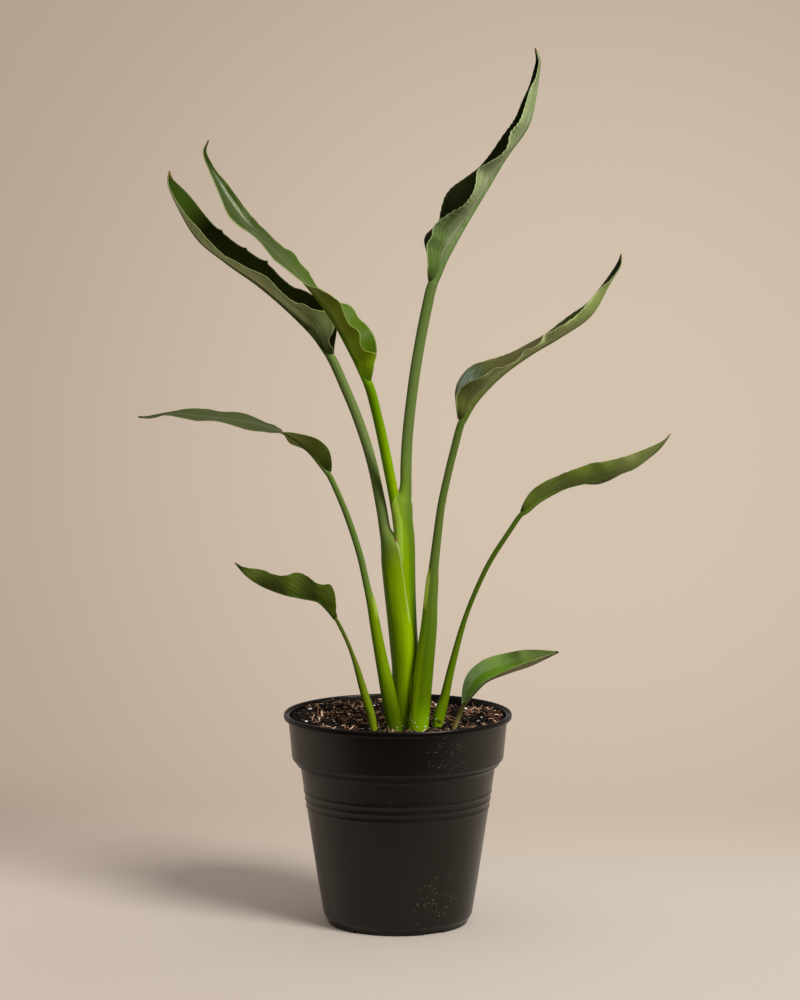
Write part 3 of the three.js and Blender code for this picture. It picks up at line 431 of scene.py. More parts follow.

# How each leaf looks, with colours as they show, from 0 to 255. edges holds how pale the near and
# the far margin are. A band is a face, a half, its range across and its range along, a colour and
# a strength; some bands are the leaf's own colour, and some are painted sheen, painted shade or
# painted light shining through, as said at each. A margin's cusps are [share along, height, half
# width], and its teeth a height and a count. stalkPaintedSide is painted shade on the side of a
# stalk away from the light, and on the right leaf painted light, giving way to stalkBase between
# the fibre places in paintedSideRange. foot holds a colour and the heights between which it comes
# in, and stalkHeights those between which stalkBase gives way to stalk. Marks are courses of
# [x, z] on a sheath's front.
LOOKS = {
    "tall_left": {
        # Painted shade: the upper face is dark green painted near black for the shade inside the fold,
        # lighter towards the tip where the fold opens
        "above": (13, 16, 2), "aboveTip": (55, 74, 20), "tipRange": (0.7, 0.88),
        "below": (141, 157, 90), "belowLight": (200, 210, 147), "base": (44, 58, 3),
        "vein": (161, 170, 120), "rib": (56, 74, 15), "margin": (156, 166, 104),
        "tip": (120, 96, 50), "gloss": 0.0, "stripes": 0.0, "veins": 0.05,
        "edges": (0.7, 0.1),
        "bands": [("below", "near", (0.0, 0.2), (0.04, 0.95), (46, 62, 14), 0.75)],
        "waves": 5, "ripple": 0.9,
        "cusps": {"far": [(0.427, 2.4, 0.008), (0.523, 1.4, 0.008), (0.648, 1.8, 0.008)]},
        "teeth": {"near": (0.25, 34), "far": (0.2, 40)},
        "stalk": (94, 112, 54), "stalkBase": (122, 154, 0), "stalkLine": (80, 104, 26),
        "stalkPaintedSide": (94, 126, 0), "stalkHeights": (262, 300),
        "foot": ((92, 118, 0), 205, 150),
        "wraps": {"inner": "tallest_right", "low": 190, "high": 297},
        "marks": [
            ("pale", 0.6, [(-5, 299), (-5.3, 297.2), (-3.8, 293.8), (-1.5, 290.1), (-0.4, 286.3),
                           (2, 275.9), (4.2, 261.7), (6.6, 243.1), (8.8, 226.6)]),
            # Painted light in the crevice beside the right leaf's sheath, over a paler strip of sheath
            ("painted_glow", 2.6, [(7, 232), (8.8, 212), (9.4, 196), (8.8, 178)]),
            ("brown", 0.7, [(-6.3, 299.5), (-6.2, 297.2)]),
            ("brown", 0.6, [(-2.5, 290.1), (-1.7, 286.6)]),
        ],
    },
    "twisted_left": {
        "above": (68, 94, 0), "aboveTip": (39, 56, 0), "tipRange": (0.3, 0.6),
        # Painted light: the very bright base colour stands for light shining through the blade's underside
        # near its foot
        "below": (112, 134, 0), "belowLight": (131, 148, 6), "base": (188, 244, 0),
        "vein": (112, 130, 62), "rib": (98, 130, 14), "margin": (196, 208, 132),
        "tip": (140, 120, 50), "gloss": 0.12, "wax": 0.06, "stripes": 0.32, "veins": 1.5,
        "edges": (0.45, 0.25),
        "bands": [
            # Painted sheen on the far half's upper face, towards the tip
            ("above", "far", (0.32, 0.62), (0.68, 0.86), (190, 202, 172), 0.5),
            # Painted light shining through the near half's underside near the base
            ("below", "near", (0.3, 1.1), (0.0, 0.3), (146, 172, 20), 0.75),
        ],
        "waves": 8, "ripple": 1.8,
        "cusps": {"far": [(0.42, 1.5, 0.02)]},
        "teeth": {"near": (0.35, 18), "far": (0.45, 22)},
        "stalk": (102, 142, 0), "stalkBase": (128, 160, 0), "stalkLine": (84, 124, 0),
        "stalkPaintedSide": (98, 140, 0), "stalkHeights": (320, 400),
        "foot": ((128, 160, 0), 160, 150),
    },
    "tallest_right": {
        # Painted shade: the upper face is dark green painted near black for the shade inside the fold
        "above": (20, 26, 3), "aboveTip": (30, 40, 14), "tipRange": (0.6, 0.95),
        "below": (113, 135, 77), "belowLight": (165, 178, 130), "base": (62, 80, 12),
        "vein": (164, 176, 131), "rib": (102, 130, 67), "margin": (176, 190, 134),
        "tip": (96, 86, 44), "gloss": 0.0, "stripes": 0.0,
        "edges": (0.8, 0.1),
        "bands": [
            # Painted sheen: a pale grey stripe along the near half's underside
            ("below", "near", (0.2, 0.5), (0.17, 0.75), (184, 186, 158), 0.6),
            ("below", "near", (0.35, 1.1), (0.0, 0.26), (76, 104, 20), 0.7),
        ],
        "waves": 6, "ripple": 0.9,
        "teeth": {"near": (0.9, 46), "far": (0.4, 40)},
        "stalk": (95, 114, 56), "stalkBase": (138, 172, 0), "stalkLine": (84, 112, 30),
        # Painted shade on the stalk's right side, where the right leaf shades it
        "stalkPaintedSide": (84, 114, 0), "paintedSideRange": (2.9, -0.4), "stalkHeights": (262, 375),
        "foot": ((134, 168, 0), 160, 150),
        "wraps": {"inner": "twisted_left", "low": 296, "high": 325},
        "marks": [
            ("hood", 2.3, [(-3.2, 318), (-1.3, 309.4), (0.6, 302), (1.2, 294.5), (1.4, 283),
                           (1.6, 272)]),
            ("brown", 0.7, [(0.8, 324.8), (0.2, 322.8)]),
        ],
    },
    "right": {
        "above": (36, 52, 8), "aboveTip": (58, 66, 34), "tipRange": (0.45, 0.9),
        "below": (152, 170, 86), "belowLight": (192, 198, 136), "base": (72, 80, 0),
        "vein": (146, 156, 108), "rib": (99, 120, 40), "margin": (186, 198, 134),
        "tip": (150, 136, 60), "gloss": 0.03, "stripes": 0.2,
        "edges": (0.8, 0.15),
        "bands": [
            # Painted sheen: a blue-grey sheen in the far half's fold near the base
            ("above", "far", (0.55, 0.95), (0.06, 0.18), (150, 166, 150), 0.6),
            ("above", "far", (-0.1, 1.1), (0.24, 0.6), (110, 104, 62), 0.75),
            ("below", "near", (-0.1, 1.1), (0.64, 1.1), (122, 148, 64), 0.6),
            ("below", "near", (0.3, 1.1), (-0.1, 0.2), (84, 86, 24), 0.65),
        ],
        "waves": 7, "ripple": 1.2,
        "cusps": {"near": [(0.55, 1.0, 0.012)]},
        "teeth": {"near": (0.5, 30), "far": (0.3, 30)},
        "stalk": (87, 106, 44), "stalkBase": (79, 105, 0), "stalkLine": (78, 104, 16),
        # Painted light: the stalk's left side is painted lighter where the key does not reach
        "stalkPaintedSide": (132, 168, 0), "paintedSideRange": (-3.6, 0.0), "stalkHeights": (180, 300),
        "foot": ((112, 148, 0), 172, 148),
        "marks": [
            ("brown", 0.7, [(22.2, 271), (22.1, 268.2)]),
            # Painted light down the sheath's left side
            ("lit", 1.1, [(22.4, 267), (21.6, 257), (20.6, 248), (19.2, 238)]),
            ("spot", 0.4, [(9.7, 183), (9.5, 180.5)]),
            ("papery", 1.5, [(10.4, 181), (9.6, 170), (8.6, 158)]),
            ("pale", 0.3, [(18.3, 237.4), (16.3, 221), (14.2, 205.7)]),
        ],
    },
    "low_right": {
        "above": (36, 52, 8), "aboveTip": (44, 60, 14), "tipRange": (0.45, 0.95),
        "below": (97, 114, 20), "belowLight": (122, 133, 69), "base": (84, 106, 8),
        "vein": (124, 136, 84), "rib": (84, 106, 26), "margin": (112, 128, 60),
        "tip": (120, 120, 56), "gloss": 0.15, "stripes": 0.1,
        "edges": (0.35, 0.2),
        "bands": [
            ("below", "near", (0.5, 1.1), (0.33, 0.52), (104, 130, 10), 0.4),
            ("below", "near", (-0.1, 1.1), (0.6, 1.1), (126, 130, 84), 0.5),
            # Painted shade: the far half's underside, darkened where it lies in shade below the midrib
            ("below", "far", (-0.1, 1.1), (0.32, 0.62), (64, 56, 22), 0.8),
        ],
        "waves": 6, "ripple": 0.9,
        "teeth": {"near": (0.35, 16)},
        "stalk": (63, 85, 10), "stalkBase": (90, 116, 0), "stalkLine": (60, 86, 4),
        "stalkPaintedSide": (88, 116, 0), "stalkHeights": (165, 255),
        "foot": ((100, 130, 0), 175, 150),
        "marks": [
            ("brown", 0.6, [(44.5, 221.3), (44.4, 218.6)]),
            ("pale", 0.25, [(44.1, 217.7), (38.2, 197.4), (32.8, 177.5), (29, 164.4), (26, 158.3)]),
            ("spot", 0.5, [(39.7, 180.9), (39.6, 180.3)]),
            ("spot", 0.5, [(38.5, 177.5), (38.4, 176.9)]),
            ("soil", 1.4, [(29.9, 152.8), (31.6, 150.2)]),
        ],
    },
    "drooping_left": {
        "above": (54, 61, 18), "aboveTip": (59, 67, 29), "tipRange": (0.3, 0.6),
        "below": (126, 148, 4), "belowLight": (130, 142, 50), "base": (62, 74, 2),
        "vein": (122, 134, 90), "rib": (80, 100, 36), "margin": (112, 124, 72),
        "tip": (64, 60, 36), "gloss": 0.08, "stripes": 0.1, "veins": 0.6,
        "edges": (0.4, 0.4),
        "waves": 6, "ripple": 0.9,
        "teeth": {"near": (0.4, 14), "far": (0.5, 13)},
        "stalk": (88, 112, 46), "stalkBase": (107, 133, 0), "stalkLine": (74, 98, 16),
        "stalkPaintedSide": (94, 128, 0), "stalkHeights": (234, 260),
        "foot": ((66, 88, 0), 195, 155),
        "marks": [
            ("brown", 0.6, [(-17.5, 249.8), (-17.3, 247.2)]),
            ("patch", 1.4, [(-16.8, 248), (-14.6, 232)]),
        ],
    },
    "low_left": {
        "above": (54, 69, 13), "aboveTip": (62, 68, 28), "tipRange": (0.45, 0.95),
        "below": (65, 82, 2), "belowLight": (94, 108, 26), "base": (128, 160, 0),
        "vein": (100, 110, 66), "rib": (78, 104, 22), "margin": (80, 98, 30),
        "tip": (84, 76, 40), "gloss": 0.15, "stripes": 0.1,
        "edges": (0.3, 0.3),
        "waves": 4, "ripple": 0.9,
        "teeth": {"near": (0.5, 9)},
        "stalk": (80, 94, 22), "stalkBase": (106, 126, 16), "stalkLine": (60, 78, 6),
        "stalkPaintedSide": (90, 110, 6), "stalkHeights": (165, 225),
        "foot": ((106, 126, 16), 160, 150),
        "marks": [("brown", 0.5, [(-29.6, 198.2), (-29.9, 196)])],
    },
    "small_right": {
        "above": (84, 124, 8), "aboveTip": (126, 148, 66), "tipRange": (0.45, 0.95),
        "below": (142, 138, 98), "belowLight": (150, 144, 104), "base": (88, 104, 50),
        "vein": (146, 166, 104), "rib": (86, 92, 48), "margin": (134, 154, 84),
        "tip": (12, 10, 6), "gloss": 0.2, "stripes": 0.2,
        "edges": (0.5, 0.5),
        "bands": [
            # Painted sheen: pale sheen on the far half's upper face near the base, and a paler upper side
            # along it
            ("above", "far", (0.5, 1.1), (-0.1, 0.36), (160, 178, 146), 0.4),
            ("above", "far", (0.45, 1.1), (0.3, 0.95), (136, 156, 96), 0.5),
        ],
        "waves": 4, "ripple": 0.6,
        "stalk": (80, 74, 30), "stalkBase": (118, 110, 60), "stalkLine": (66, 66, 24),
        "stalkPaintedSide": (118, 110, 60), "stalkHeights": (150, 162),
        "foot": ((118, 110, 60), 152, 148),
    },
}
for each in LEAVES:
    each.update(PLAIN_LOOKS | LOOKS[each["name"]])
BY_NAME = {each["name"]: each for each in LEAVES}


def unit(vectors):
    return vectors / np.linalg.norm(vectors, axis=-1, keepdims=True)


def dot(first, second):
    return (first * second).sum(-1, keepdims=True)


def smooth_step(values, low, high):
    """0 below low and 1 above high, and smooth between them."""
    share = np.clip((values - low) / (high - low), 0, 1)
    return share * share * (3 - 2 * share)


def follow(keys, t):
    """A smooth value at each t, through keys of [t, value]."""
    at, value = np.array(keys, float).T
    last = len(at) - 1
    before = np.maximum(np.arange(last + 1) - 1, 0)
    after = np.minimum(np.arange(last + 1) + 1, last)
    slope = (value[after] - value[before]) / (at[after] - at[before])
    k = np.clip(np.searchsorted(at, t, side="left") - 1, 0, last - 1)
    span = at[k + 1] - at[k]
    u = np.clip((t - at[k]) / span, 0, 1)
    rise = (3 - 2 * u) * u * u
    bend = slope[k] * u * (1 - u) ** 2 + slope[k + 1] * u * u * (u - 1)
    return value[k] + (value[k + 1] - value[k]) * rise + span * bend


def spline(points, u):
    """A centripetal Catmull-Rom curve through points, at u from 0 to 1 over its spans."""
    points = np.array(points, float)
    spans = len(points) - 1
    padded = np.vstack([2 * points[0] - points[1], points, 2 * points[-1] - points[-2]])
    k = np.clip((u * spans).astype(int), 0, spans - 1)
    w = (u * spans - k)[:, None]
    p0, p1, p2, p3 = (padded[k + i] for i in range(4))
    d0 = np.linalg.norm(p1 - p0, axis=1, keepdims=True) ** 0.5
    d1 = np.linalg.norm(p2 - p1, axis=1, keepdims=True) ** 0.5
    d2 = np.linalg.norm(p3 - p2, axis=1, keepdims=True) ** 0.5
    leave = ((p1 - p0) / d0 - (p2 - p0) / (d0 + d1) + (p2 - p1) / d1) * d1
    arrive = ((p2 - p1) / d1 - (p3 - p1) / (d1 + d2) + (p3 - p2) / d2) * d1
    rise = (3 - 2 * w) * w * w
    return p1 + (p2 - p1) * rise + leave * w * (1 - w) ** 2 + arrive * w * w * (w - 1)


def along_spline(points, t):
    """Places and directions at shares t of a curve's length."""
    fine_u = np.linspace(0, 1, CURVE_STEPS)
    steps = np.linalg.norm(np.diff(spline(points, fine_u), axis=0), axis=1)
    travelled = np.concatenate([[0], np.cumsum(steps)])
    u = np.interp(t * travelled[-1], travelled, fine_u)
    nudge = 1e-4
    ahead = spline(points, np.minimum(u + nudge, 1))
    behind = spline(points, np.maximum(u - nudge, 0))
    return spline(points, u), unit(ahead - behind)


def row_frames(leaf, t):
    """A blade's midrib at t, with the ways it runs, opens and faces, seen from the viewpoint."""
    middle, tangent = along_spline(leaf["midrib"], t)
    facing = unit(VIEWPOINT - middle)
    run = unit(tangent - facing * dot(tangent, facing))
    across = unit(np.cross(run, facing))
    front = unit(np.cross(across, run))
    return middle, run, across * leaf["side"], front


def half_width_at(leaf, t):
    """The real half width of a blade, from a rounded base to a drawn-out tip."""
    bend = math.log(0.5) / math.log(WIDEST_POINT)
    swell = np.sin(np.pi * np.minimum(t, 0.999) ** bend)
    return leaf["halfWidth"] * swell ** (0.5 + 0.6 * t)


def rib_half_width_at(leaf, t):
    """The half width of a midrib, from its base to its fine end."""
    base = leaf["ribDepth"] * 0.75
    return base + (0.6 - base) * np.sqrt(t)


def teeth_at(t, count):
    """Fine teeth around 0, shifted along by slow waves, and a slow wave for their size."""
    phase = count * t + 0.35 * np.sin(2 * np.pi * 2.3 * t) + 0.2 * np.sin(2 * np.pi * 5.7 * t + 1)
    tooth = np.abs(np.sin(np.pi * phase)) - 0.6
    return tooth, 0.6 + 0.4 * np.sin(2 * np.pi * 3.1 * t + 2)


def margin_detail(leaf, t, part):
    """How far a margin stands out beyond its smooth line, by its cusps and its teeth."""
    detail = np.zeros(len(t))
    for place, height, half in leaf["cusps"].get(part, ()):
        away = t - place
        detail += height * np.exp(-np.abs(away) / np.where(away < 0, 0.5 * half, 1.6 * half))
    size, count = leaf["teeth"].get(part, (0, 1))
    tooth, uneven = teeth_at(t, count)
    ends = 1 - smooth_step(t, 0.8, 0.97)
    return detail + size * tooth * uneven * smooth_step(t, 0.02, 0.1) * ends


def eased(values, rows):
    """Values smoothed over a number of rows, with both ends kept."""
    reach = 3 * rows
    weight = np.exp(-0.5 * (np.arange(-reach, reach + 1) / rows) ** 2)
    padded = np.pad(values, reach, mode="reflect", reflect_type="odd")
    return np.convolve(padded, weight / weight.sum(), mode="valid")


def margin_reach(leaf, t, part):
    """How far a margin stands in front of the midrib, and over it, as seen from the viewpoint."""
    sign = 1 if part == "near" else -1
    rise = follow(leaf[part], t)
    tip_width = (rib_half_width_at(leaf, t) + 0.8) * (1 - t) + 0.5 * t
    width = np.maximum(half_width_at(leaf, t), np.maximum(np.abs(rise) * 1.02, tip_width))
    hidden = np.sqrt(np.maximum(width**2 - rise**2, 0.05 * width**2))
    return sign * eased(hidden, DEPTH_EASING), rise


def half_sheet(leaf, t, part, s):
    """One half of a blade's middle sheet, as rows of points from the midrib to the margin."""
    middle, _, opens, front = row_frames(leaf, t)
    sign = 1 if part == "near" else -1
    depth, rise = margin_reach(leaf, t, part)
    ripple = leaf["ripple"] * np.sin(leaf["waves"] * t * 2 * np.pi + sign) * np.sin(np.pi * t)
    control_depth = depth * (0.5 + 0.25 * leaf["belly"])
    control_rise = rise * 0.5 * (1 - leaf["belly"])
    bent = 2 * s * (1 - s)
    inward = bent * control_depth[:, None] + s**2 * (depth + ripple)[:, None]
    upward = bent * control_rise[:, None] + s**2 * rise[:, None]
    upward += s**5 * margin_detail(leaf, t, part)[:, None]
    moved = middle[:, None] + front[:, None] * inward[..., None]
    return moved + opens[:, None] * upward[..., None]


def blade_sheet(leaf):
    """A blade's middle sheet from the far margin to the near one, with distances from the rib."""
    t = np.linspace(0, 1, BLADE_ROWS + 1)
    even = np.linspace(0, 1, HALF_COLUMNS + 1)
    s = 0.5 * even + 0.25 * (1 - np.cos(np.pi * even))
    far = half_sheet(leaf, t, "far", s)
    near = half_sheet(leaf, t, "near", s)
    reach = []
    for half in (far, near):
        steps = np.linalg.norm(np.diff(half, axis=1), axis=2)
        reach.append(np.concatenate([np.zeros((len(t), 1)), np.cumsum(steps, axis=1)], axis=1))
    sheet = np.concatenate([far[:, :0:-1], near], axis=1)
    distance = np.concatenate([-reach[0][:, :0:-1], reach[1]], axis=1)
    return t, sheet, distance


def sheet_normals(leaf, t, sheet, distance):
    """Ways out of the upper face, each in the plane of its own row."""
    _, run, opens, _ = row_frames(leaf, t)
    down = np.gradient(sheet, axis=0)
    over = np.gradient(sheet, axis=1)
    normal = np.cross(down, over) * leaf["side"]
    normal = unit(normal - run[:, None] * dot(normal, run[:, None]))
    flat = smooth_step(np.abs(distance), 0.3, 2.2)[..., None]
    return unit(normal * flat + opens[:, None] * (1 - flat))


def loop_faces(rings, size):
    """Quads of a tube of rings, each of the same size."""
    ring, spot = np.meshgrid(np.arange(rings - 1), np.arange(size), indexing="ij")
    beside = (spot + 1) % size
    above = ring + 1
    corners = [ring * size + spot, ring * size + beside, above * size + beside, above * size + spot]
    return np.stack(corners, axis=-1).reshape(-1, 4).tolist()


def add_values(mesh, values):
    """Puts numbers or vectors on a mesh's points, for its finish to read."""
    for key, numbers in values.items():
        numbers = np.asarray(numbers, np.float32)
        kind, field = ("FLOAT_VECTOR", "vector") if numbers.ndim == 2 else ("FLOAT", "value")
        mesh.attributes.new(key, kind, "POINT").data.foreach_set(field, numbers.ravel())


def smooth_shaded(mesh, crease=None):
    """Smooth shading, with sharp edges where faces meet at more than the crease angle."""
    mesh.polygons.foreach_set("use_smooth", [True] * len(mesh.polygons))
    if crease:
        mesh.set_sharp_from_angle(angle=math.radians(crease))


def new_piece(name, points, faces, material, replaced=(), values=None, crease=None):
    """A piece of the part from points in millimetres, riding on the root body."""
    mesh = bpy.data.meshes.new(name)
    mesh.from_pydata((np.asarray(points, float) * MM).tolist(), [], faces)
    add_values(mesh, values or {})
    shaped = bmesh.new()
    shaped.from_mesh(mesh)
    bmesh.ops.recalc_face_normals(shaped, faces=shaped.faces)
    shaped.to_mesh(mesh)
    shaped.free()
    smooth_shaded(mesh, crease)
    mesh.materials.append(material)
    made = bpy.data.objects.new(name, mesh)
    bpy.context.scene.collection.objects.link(made)
    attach(made, "root")
    if replaced:
        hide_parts(*replaced)
    return made


def blade_rings(leaf, t, sheet, distance, share):
    """Rings around a blade: its upper face, the near margin, its lower face, the far margin."""
    up = sheet_normals(leaf, t, sheet, distance)
    row = t[:, None]
    rib_half = rib_half_width_at(leaf, row) * RIB_SPREAD
    rib_depth = leaf["ribDepth"] * (1 - row) ** 1.2 + 0.1
    bulge = np.sqrt(np.clip(1 - (distance / rib_half) ** 2, 0, 1)) * rib_depth
    channel = 0.3 * rib_depth * np.exp(-((distance / (0.5 * rib_half)) ** 2))
    open_part = smooth_step(share, 0.05, 0.3) * (1 - smooth_step(share, 0.85, 1)) * np.sin(np.pi * row)
    fold = FOLD_HEIGHT * np.sin(2 * np.pi * (FOLDS_ACROSS * share - FOLDS_ALONG * row)) * open_part
    half_thickness = 0.5 * (BLADE_THICKNESS + (MARGIN_THICKNESS - BLADE_THICKNESS) * share**2)
    inner = sheet + up * (half_thickness + fold - channel)[..., None]
    outer = sheet - up * (half_thickness - fold + bulge)[..., None]
    tips = []
    for edge, beside in ((0, 1), (-1, -2)):
        away = unit(sheet[:, edge] - sheet[:, beside])
        tips.append((inner[:, edge] + outer[:, edge]) / 2 + away * MARGIN_THICKNESS * 0.4)
    return np.concatenate([inner, tips[1][:, None], outer[:, ::-1], tips[0][:, None]], axis=1)


def blade_faces(rows, columns):
    """Quads around a blade's rings, and the caps that close both of its ends."""
    size = 2 * columns + 2
    faces = loop_faces(rows, size)
    last = (rows - 1) * size
    for j in range(columns - 1):
        under = 2 * columns - j
        faces.append((j + 1, j, under, under - 1))
        faces.append((last + j, last + j + 1, last + under - 1, last + under))
    faces += [(0, size - 1, size - 2), (last, last + size - 2, last + size - 1)]
    faces += [(columns - 1, columns + 1, columns)]
    faces += [(last + columns - 1, last + columns, last + columns + 1)]
    return faces


def blade_values(leaf, t, distance, span, share):
    """What a blade's finish reads at each point of its rings."""
    def around(values, first, second):
        rows = [values, second[:, None], values[:, ::-1], first[:, None]]
        return np.concatenate(rows, axis=1).ravel()

    row = t[:, None]
    rib_half = rib_half_width_at(leaf, row) * RIB_SPREAD
    ones = np.ones(len(t))
    none = 0 * ones[:, None]
    gap_to_edge = span - np.abs(distance)
    face = np.concatenate([0 * share, none + 0.5, 0 * share + 1, none + 0.5], axis=1)
    pale_inner = np.exp(-((distance / (0.9 * (1 - row) + 0.35)) ** 2))
    pale_outer = 1 - smooth_step(np.abs(distance), 0.7 * rib_half, 1.3 * rib_half)
    return {
        "along": np.repeat(t, face.shape[1]),
        "across": around(share * np.sign(distance), -ones, ones),
        "face": face.ravel(),
        "edge": around(1 - smooth_step(gap_to_edge, 0.35, 0.9), ones, ones),
        "midrib": np.concatenate([pale_inner, none, pale_outer[:, ::-1], none], axis=1).ravel(),
    }


def build_blade(leaf):
    """A thin blade with a round rib outside, a channel inside, a fine margin and veins in relief."""
    t, sheet, distance = blade_sheet(leaf)
    span = np.where(distance < 0, -distance[:, :1], distance[:, -1:])
    share = np.abs(distance) / span
    points = blade_rings(leaf, t, sheet, distance, share).reshape(-1, 3)
    faces = blade_faces(*sheet.shape[:2])
    values = blade_values(leaf, t, distance, span, share)
    name = leaf["name"]
    finish = BladeFinish(leaf).complete()
    new_piece(f"leaf_blade_{name}", points, faces, finish, [f"blade_{name}"], values)


def stalk_sections(leaf):
    """A stalk's sections, which end in a nose that sinks into the blade's rib."""
    t = np.array([0.0, 0.025, 0.06, 0.1])
    middle, _, opens, _ = row_frames(leaf, t)
    sink = np.array([0.0, 0.35, 0.75, 0.9]) * leaf["ribDepth"]
    ends = middle - opens * sink[:, None]
    sizes = np.array([0.95, 0.62, 0.3, 0.08])[:, None] * np.array(leaf["petiole"][-1][3:])
    return np.vstack([np.array(leaf["petiole"], float), np.hstack([ends, sizes])])


def section_at(leaf, z):
    """A stalk's middle, half width and half depth at a height."""
    table = np.array(leaf["petiole"], float)
    return [np.interp(z, table[:, 2], table[:, i]) for i in (0, 1, 3, 4)]


def sheath_front(outer, inner, x, z):
    """The front of a sheath over an inner stalk: close on it, and as one round sweep over both."""
    x_outer, y_outer, half_outer, depth_outer = section_at(outer, z)
    x_inner, y_inner, half_inner, depth_inner = section_at(inner, z)
    left = np.minimum(x_outer - half_outer, x_inner - half_inner)
    right = np.maximum(x_outer + half_outer, x_inner + half_inner) + 0.4
    front = np.minimum(y_outer - depth_outer, y_inner - depth_inner) - 0.9
    back = (y_outer + y_inner) / 2
    swept = np.sqrt(np.maximum(1 - ((x - (left + right) / 2) * 2 / (right - left)) ** 2, 0))
    round_inner = 1 - ((x - x_inner) / (half_inner + 0.5)) ** 2
    on_inner = y_inner - (depth_inner + 0.5) * np.sqrt(np.maximum(round_inner, 0))
    close = np.where(round_inner > 0, on_inner, 1e3)
    return close, back + (front - back) * swept


def wrapped(leaf, points, angle):
    """Depths of a sheath's points, with its front drawn over the stalk inside it."""
    low, high = leaf["wraps"]["low"], leaf["wraps"]["high"]
    x, y, z = (points[..., i] for i in range(3))
    close, swept = sheath_front(leaf, BY_NAME[leaf["wraps"]["inner"]], x, z)
    begins = smooth_step(z, low - SHEATH_START, low + SHEATH_START)
    close_share = begins * (1 - smooth_step(z, high - 3, high + 2))
    swept_share = begins * (1 - smooth_step(z, high - SHEATH_RUN, high))
    ahead = y + (np.minimum(swept, y) - y) * swept_share
    ahead = ahead + (np.minimum(close, ahead) - ahead) * close_share
    return np.where(np.sin(angle) > -0.01, ahead, y)


def stalk_relief(leaf, angle, z):
    """A shallow groove on a stalk's upper side, and fine ribs all around, as shares of its size."""
    groove_angle = 0 if leaf["side"] > 0 else np.pi
    from_groove = np.abs((angle - groove_angle + np.pi) % (2 * np.pi) - np.pi)
    slim = smooth_step(z, *GROOVE_HEIGHTS)[:, None]
    groove = 1 - 0.1 * slim * np.exp(-((from_groove / 0.5) ** 2))
    ribs = 1 + 0.006 * np.cos(9 * angle) + 0.004 * np.cos(17 * angle + 1)
    return groove, ribs


def stalk_rings(leaf, angle):
    """The middle line of a stalk, and rings of points around it."""
    table = stalk_sections(leaf)
    u = np.linspace(0, 1, STALK_RINGS + 1)
    centre = spline(table[:, :3], u)
    direction = unit(np.gradient(centre, axis=0))
    spots = np.arange(len(table)) / (len(table) - 1)
    half_width = follow(np.stack([spots, table[:, 3]], axis=1), u)
    half_depth = follow(np.stack([spots, table[:, 4]], axis=1), u)
    across = unit(np.cross(direction, [0.0, -1.0, 0.0]))
    front = unit(np.cross(across, direction))
    groove, ribs = stalk_relief(leaf, angle, centre[:, 2])
    reach_x = half_width[:, None] * np.cos(angle) * groove * ribs
    reach_y = half_depth[:, None] * np.sin(angle) * groove * ribs
    points = centre[:, None] + across[:, None] * reach_x[..., None] + front[:, None] * reach_y[..., None]
    return centre, points


def fibre_places(centre, angle):
    """A place in the grain for each point of a stalk, drawn out along it."""
    steps = np.linalg.norm(np.diff(centre, axis=0), axis=1)
    length = np.concatenate([[0], np.cumsum(steps)])[:, None]
    places = (np.cos(angle) * FIBRES_AROUND, np.sin(angle) * FIBRES_AROUND, length * FIBRES_ALONG)
    return np.stack(np.broadcast_arrays(*places), axis=-1).reshape(-1, 3)


def build_stalk(leaf):
    """A petiole and its sheath as one closed tube, which may lie over the stalk inside it."""
    angle = 2 * np.pi * np.arange(STALK_SIDES) / STALK_SIDES
    centre, points = stalk_rings(leaf, angle)
    if "wraps" in leaf:
        points[..., 1] = wrapped(leaf, points, angle)
    faces = loop_faces(STALK_RINGS + 1, STALK_SIDES)
    faces.append(tuple(range(STALK_SIDES - 1, -1, -1)))
    faces.append(tuple(STALK_RINGS * STALK_SIDES + k for k in range(STALK_SIDES)))
    values = {"fibre": fibre_places(centre, angle)}
    name = leaf["name"]
    flat = points.reshape(-1, 3)
    finish = stalk_material(leaf)
    new_piece(f"leaf_stalk_{name}", flat, faces, finish, [f"petiole_{name}"], values)


def body_radius(z):
    return BODY_BOTTOM_RADIUS + BODY_TAPER * (z - BODY_BOTTOM)


def rounded(points, radius, steps=4):
    """Points of [radius, height] with each inner corner cut by a small arc."""
    points = [np.array(p, float) for p in points]
    result = [points[0]]
    for before, corner, after in zip(points[:-2], points[1:-1], points[2:]):
        into, out = before - corner, after - corner
        room = min(radius, 0.45 * np.linalg.norm(into), 0.45 * np.linalg.norm(out))
        start = corner + into / np.linalg.norm(into) * room
        end = corner + out / np.linalg.norm(out) * room
        for k in range(steps + 1):
            w = k / steps
            result.append((1 - w) ** 2 * start + 2 * w * (1 - w) * corner + w * w * end)
    result.append(points[-1])
    return np.array(result)


def ridge(z):
    """A low round ridge on the pot's body, as points of [radius, height]."""
    points = []
    for step in np.linspace(-1, 1, 9):
        height = z + RIDGE_HALF_HEIGHT * step
        proud = RIDGE_PROUD * math.cos(math.pi * step / 2) ** 2
        points.append([body_radius(height) + proud, height])
    return points


def inner_wall(inset):
    """The pot's inner wall, from the floor up to the rim."""
    return [
        [body_radius(BODY_BOTTOM) - WALL - inset, FOOT_HEIGHT + FLOOR_THICKNESS + inset],
        [body_radius(SHOULDER_BOTTOM) - WALL - inset, SHOULDER_BOTTOM + 0.4 + inset],
        [COLLAR_BOTTOM_RADIUS - WALL - 0.5 - inset, COLLAR_BOTTOM - 0.5 + inset],
        [COLLAR_BOTTOM_RADIUS - WALL - inset, COLLAR_BOTTOM + 1],
    ]


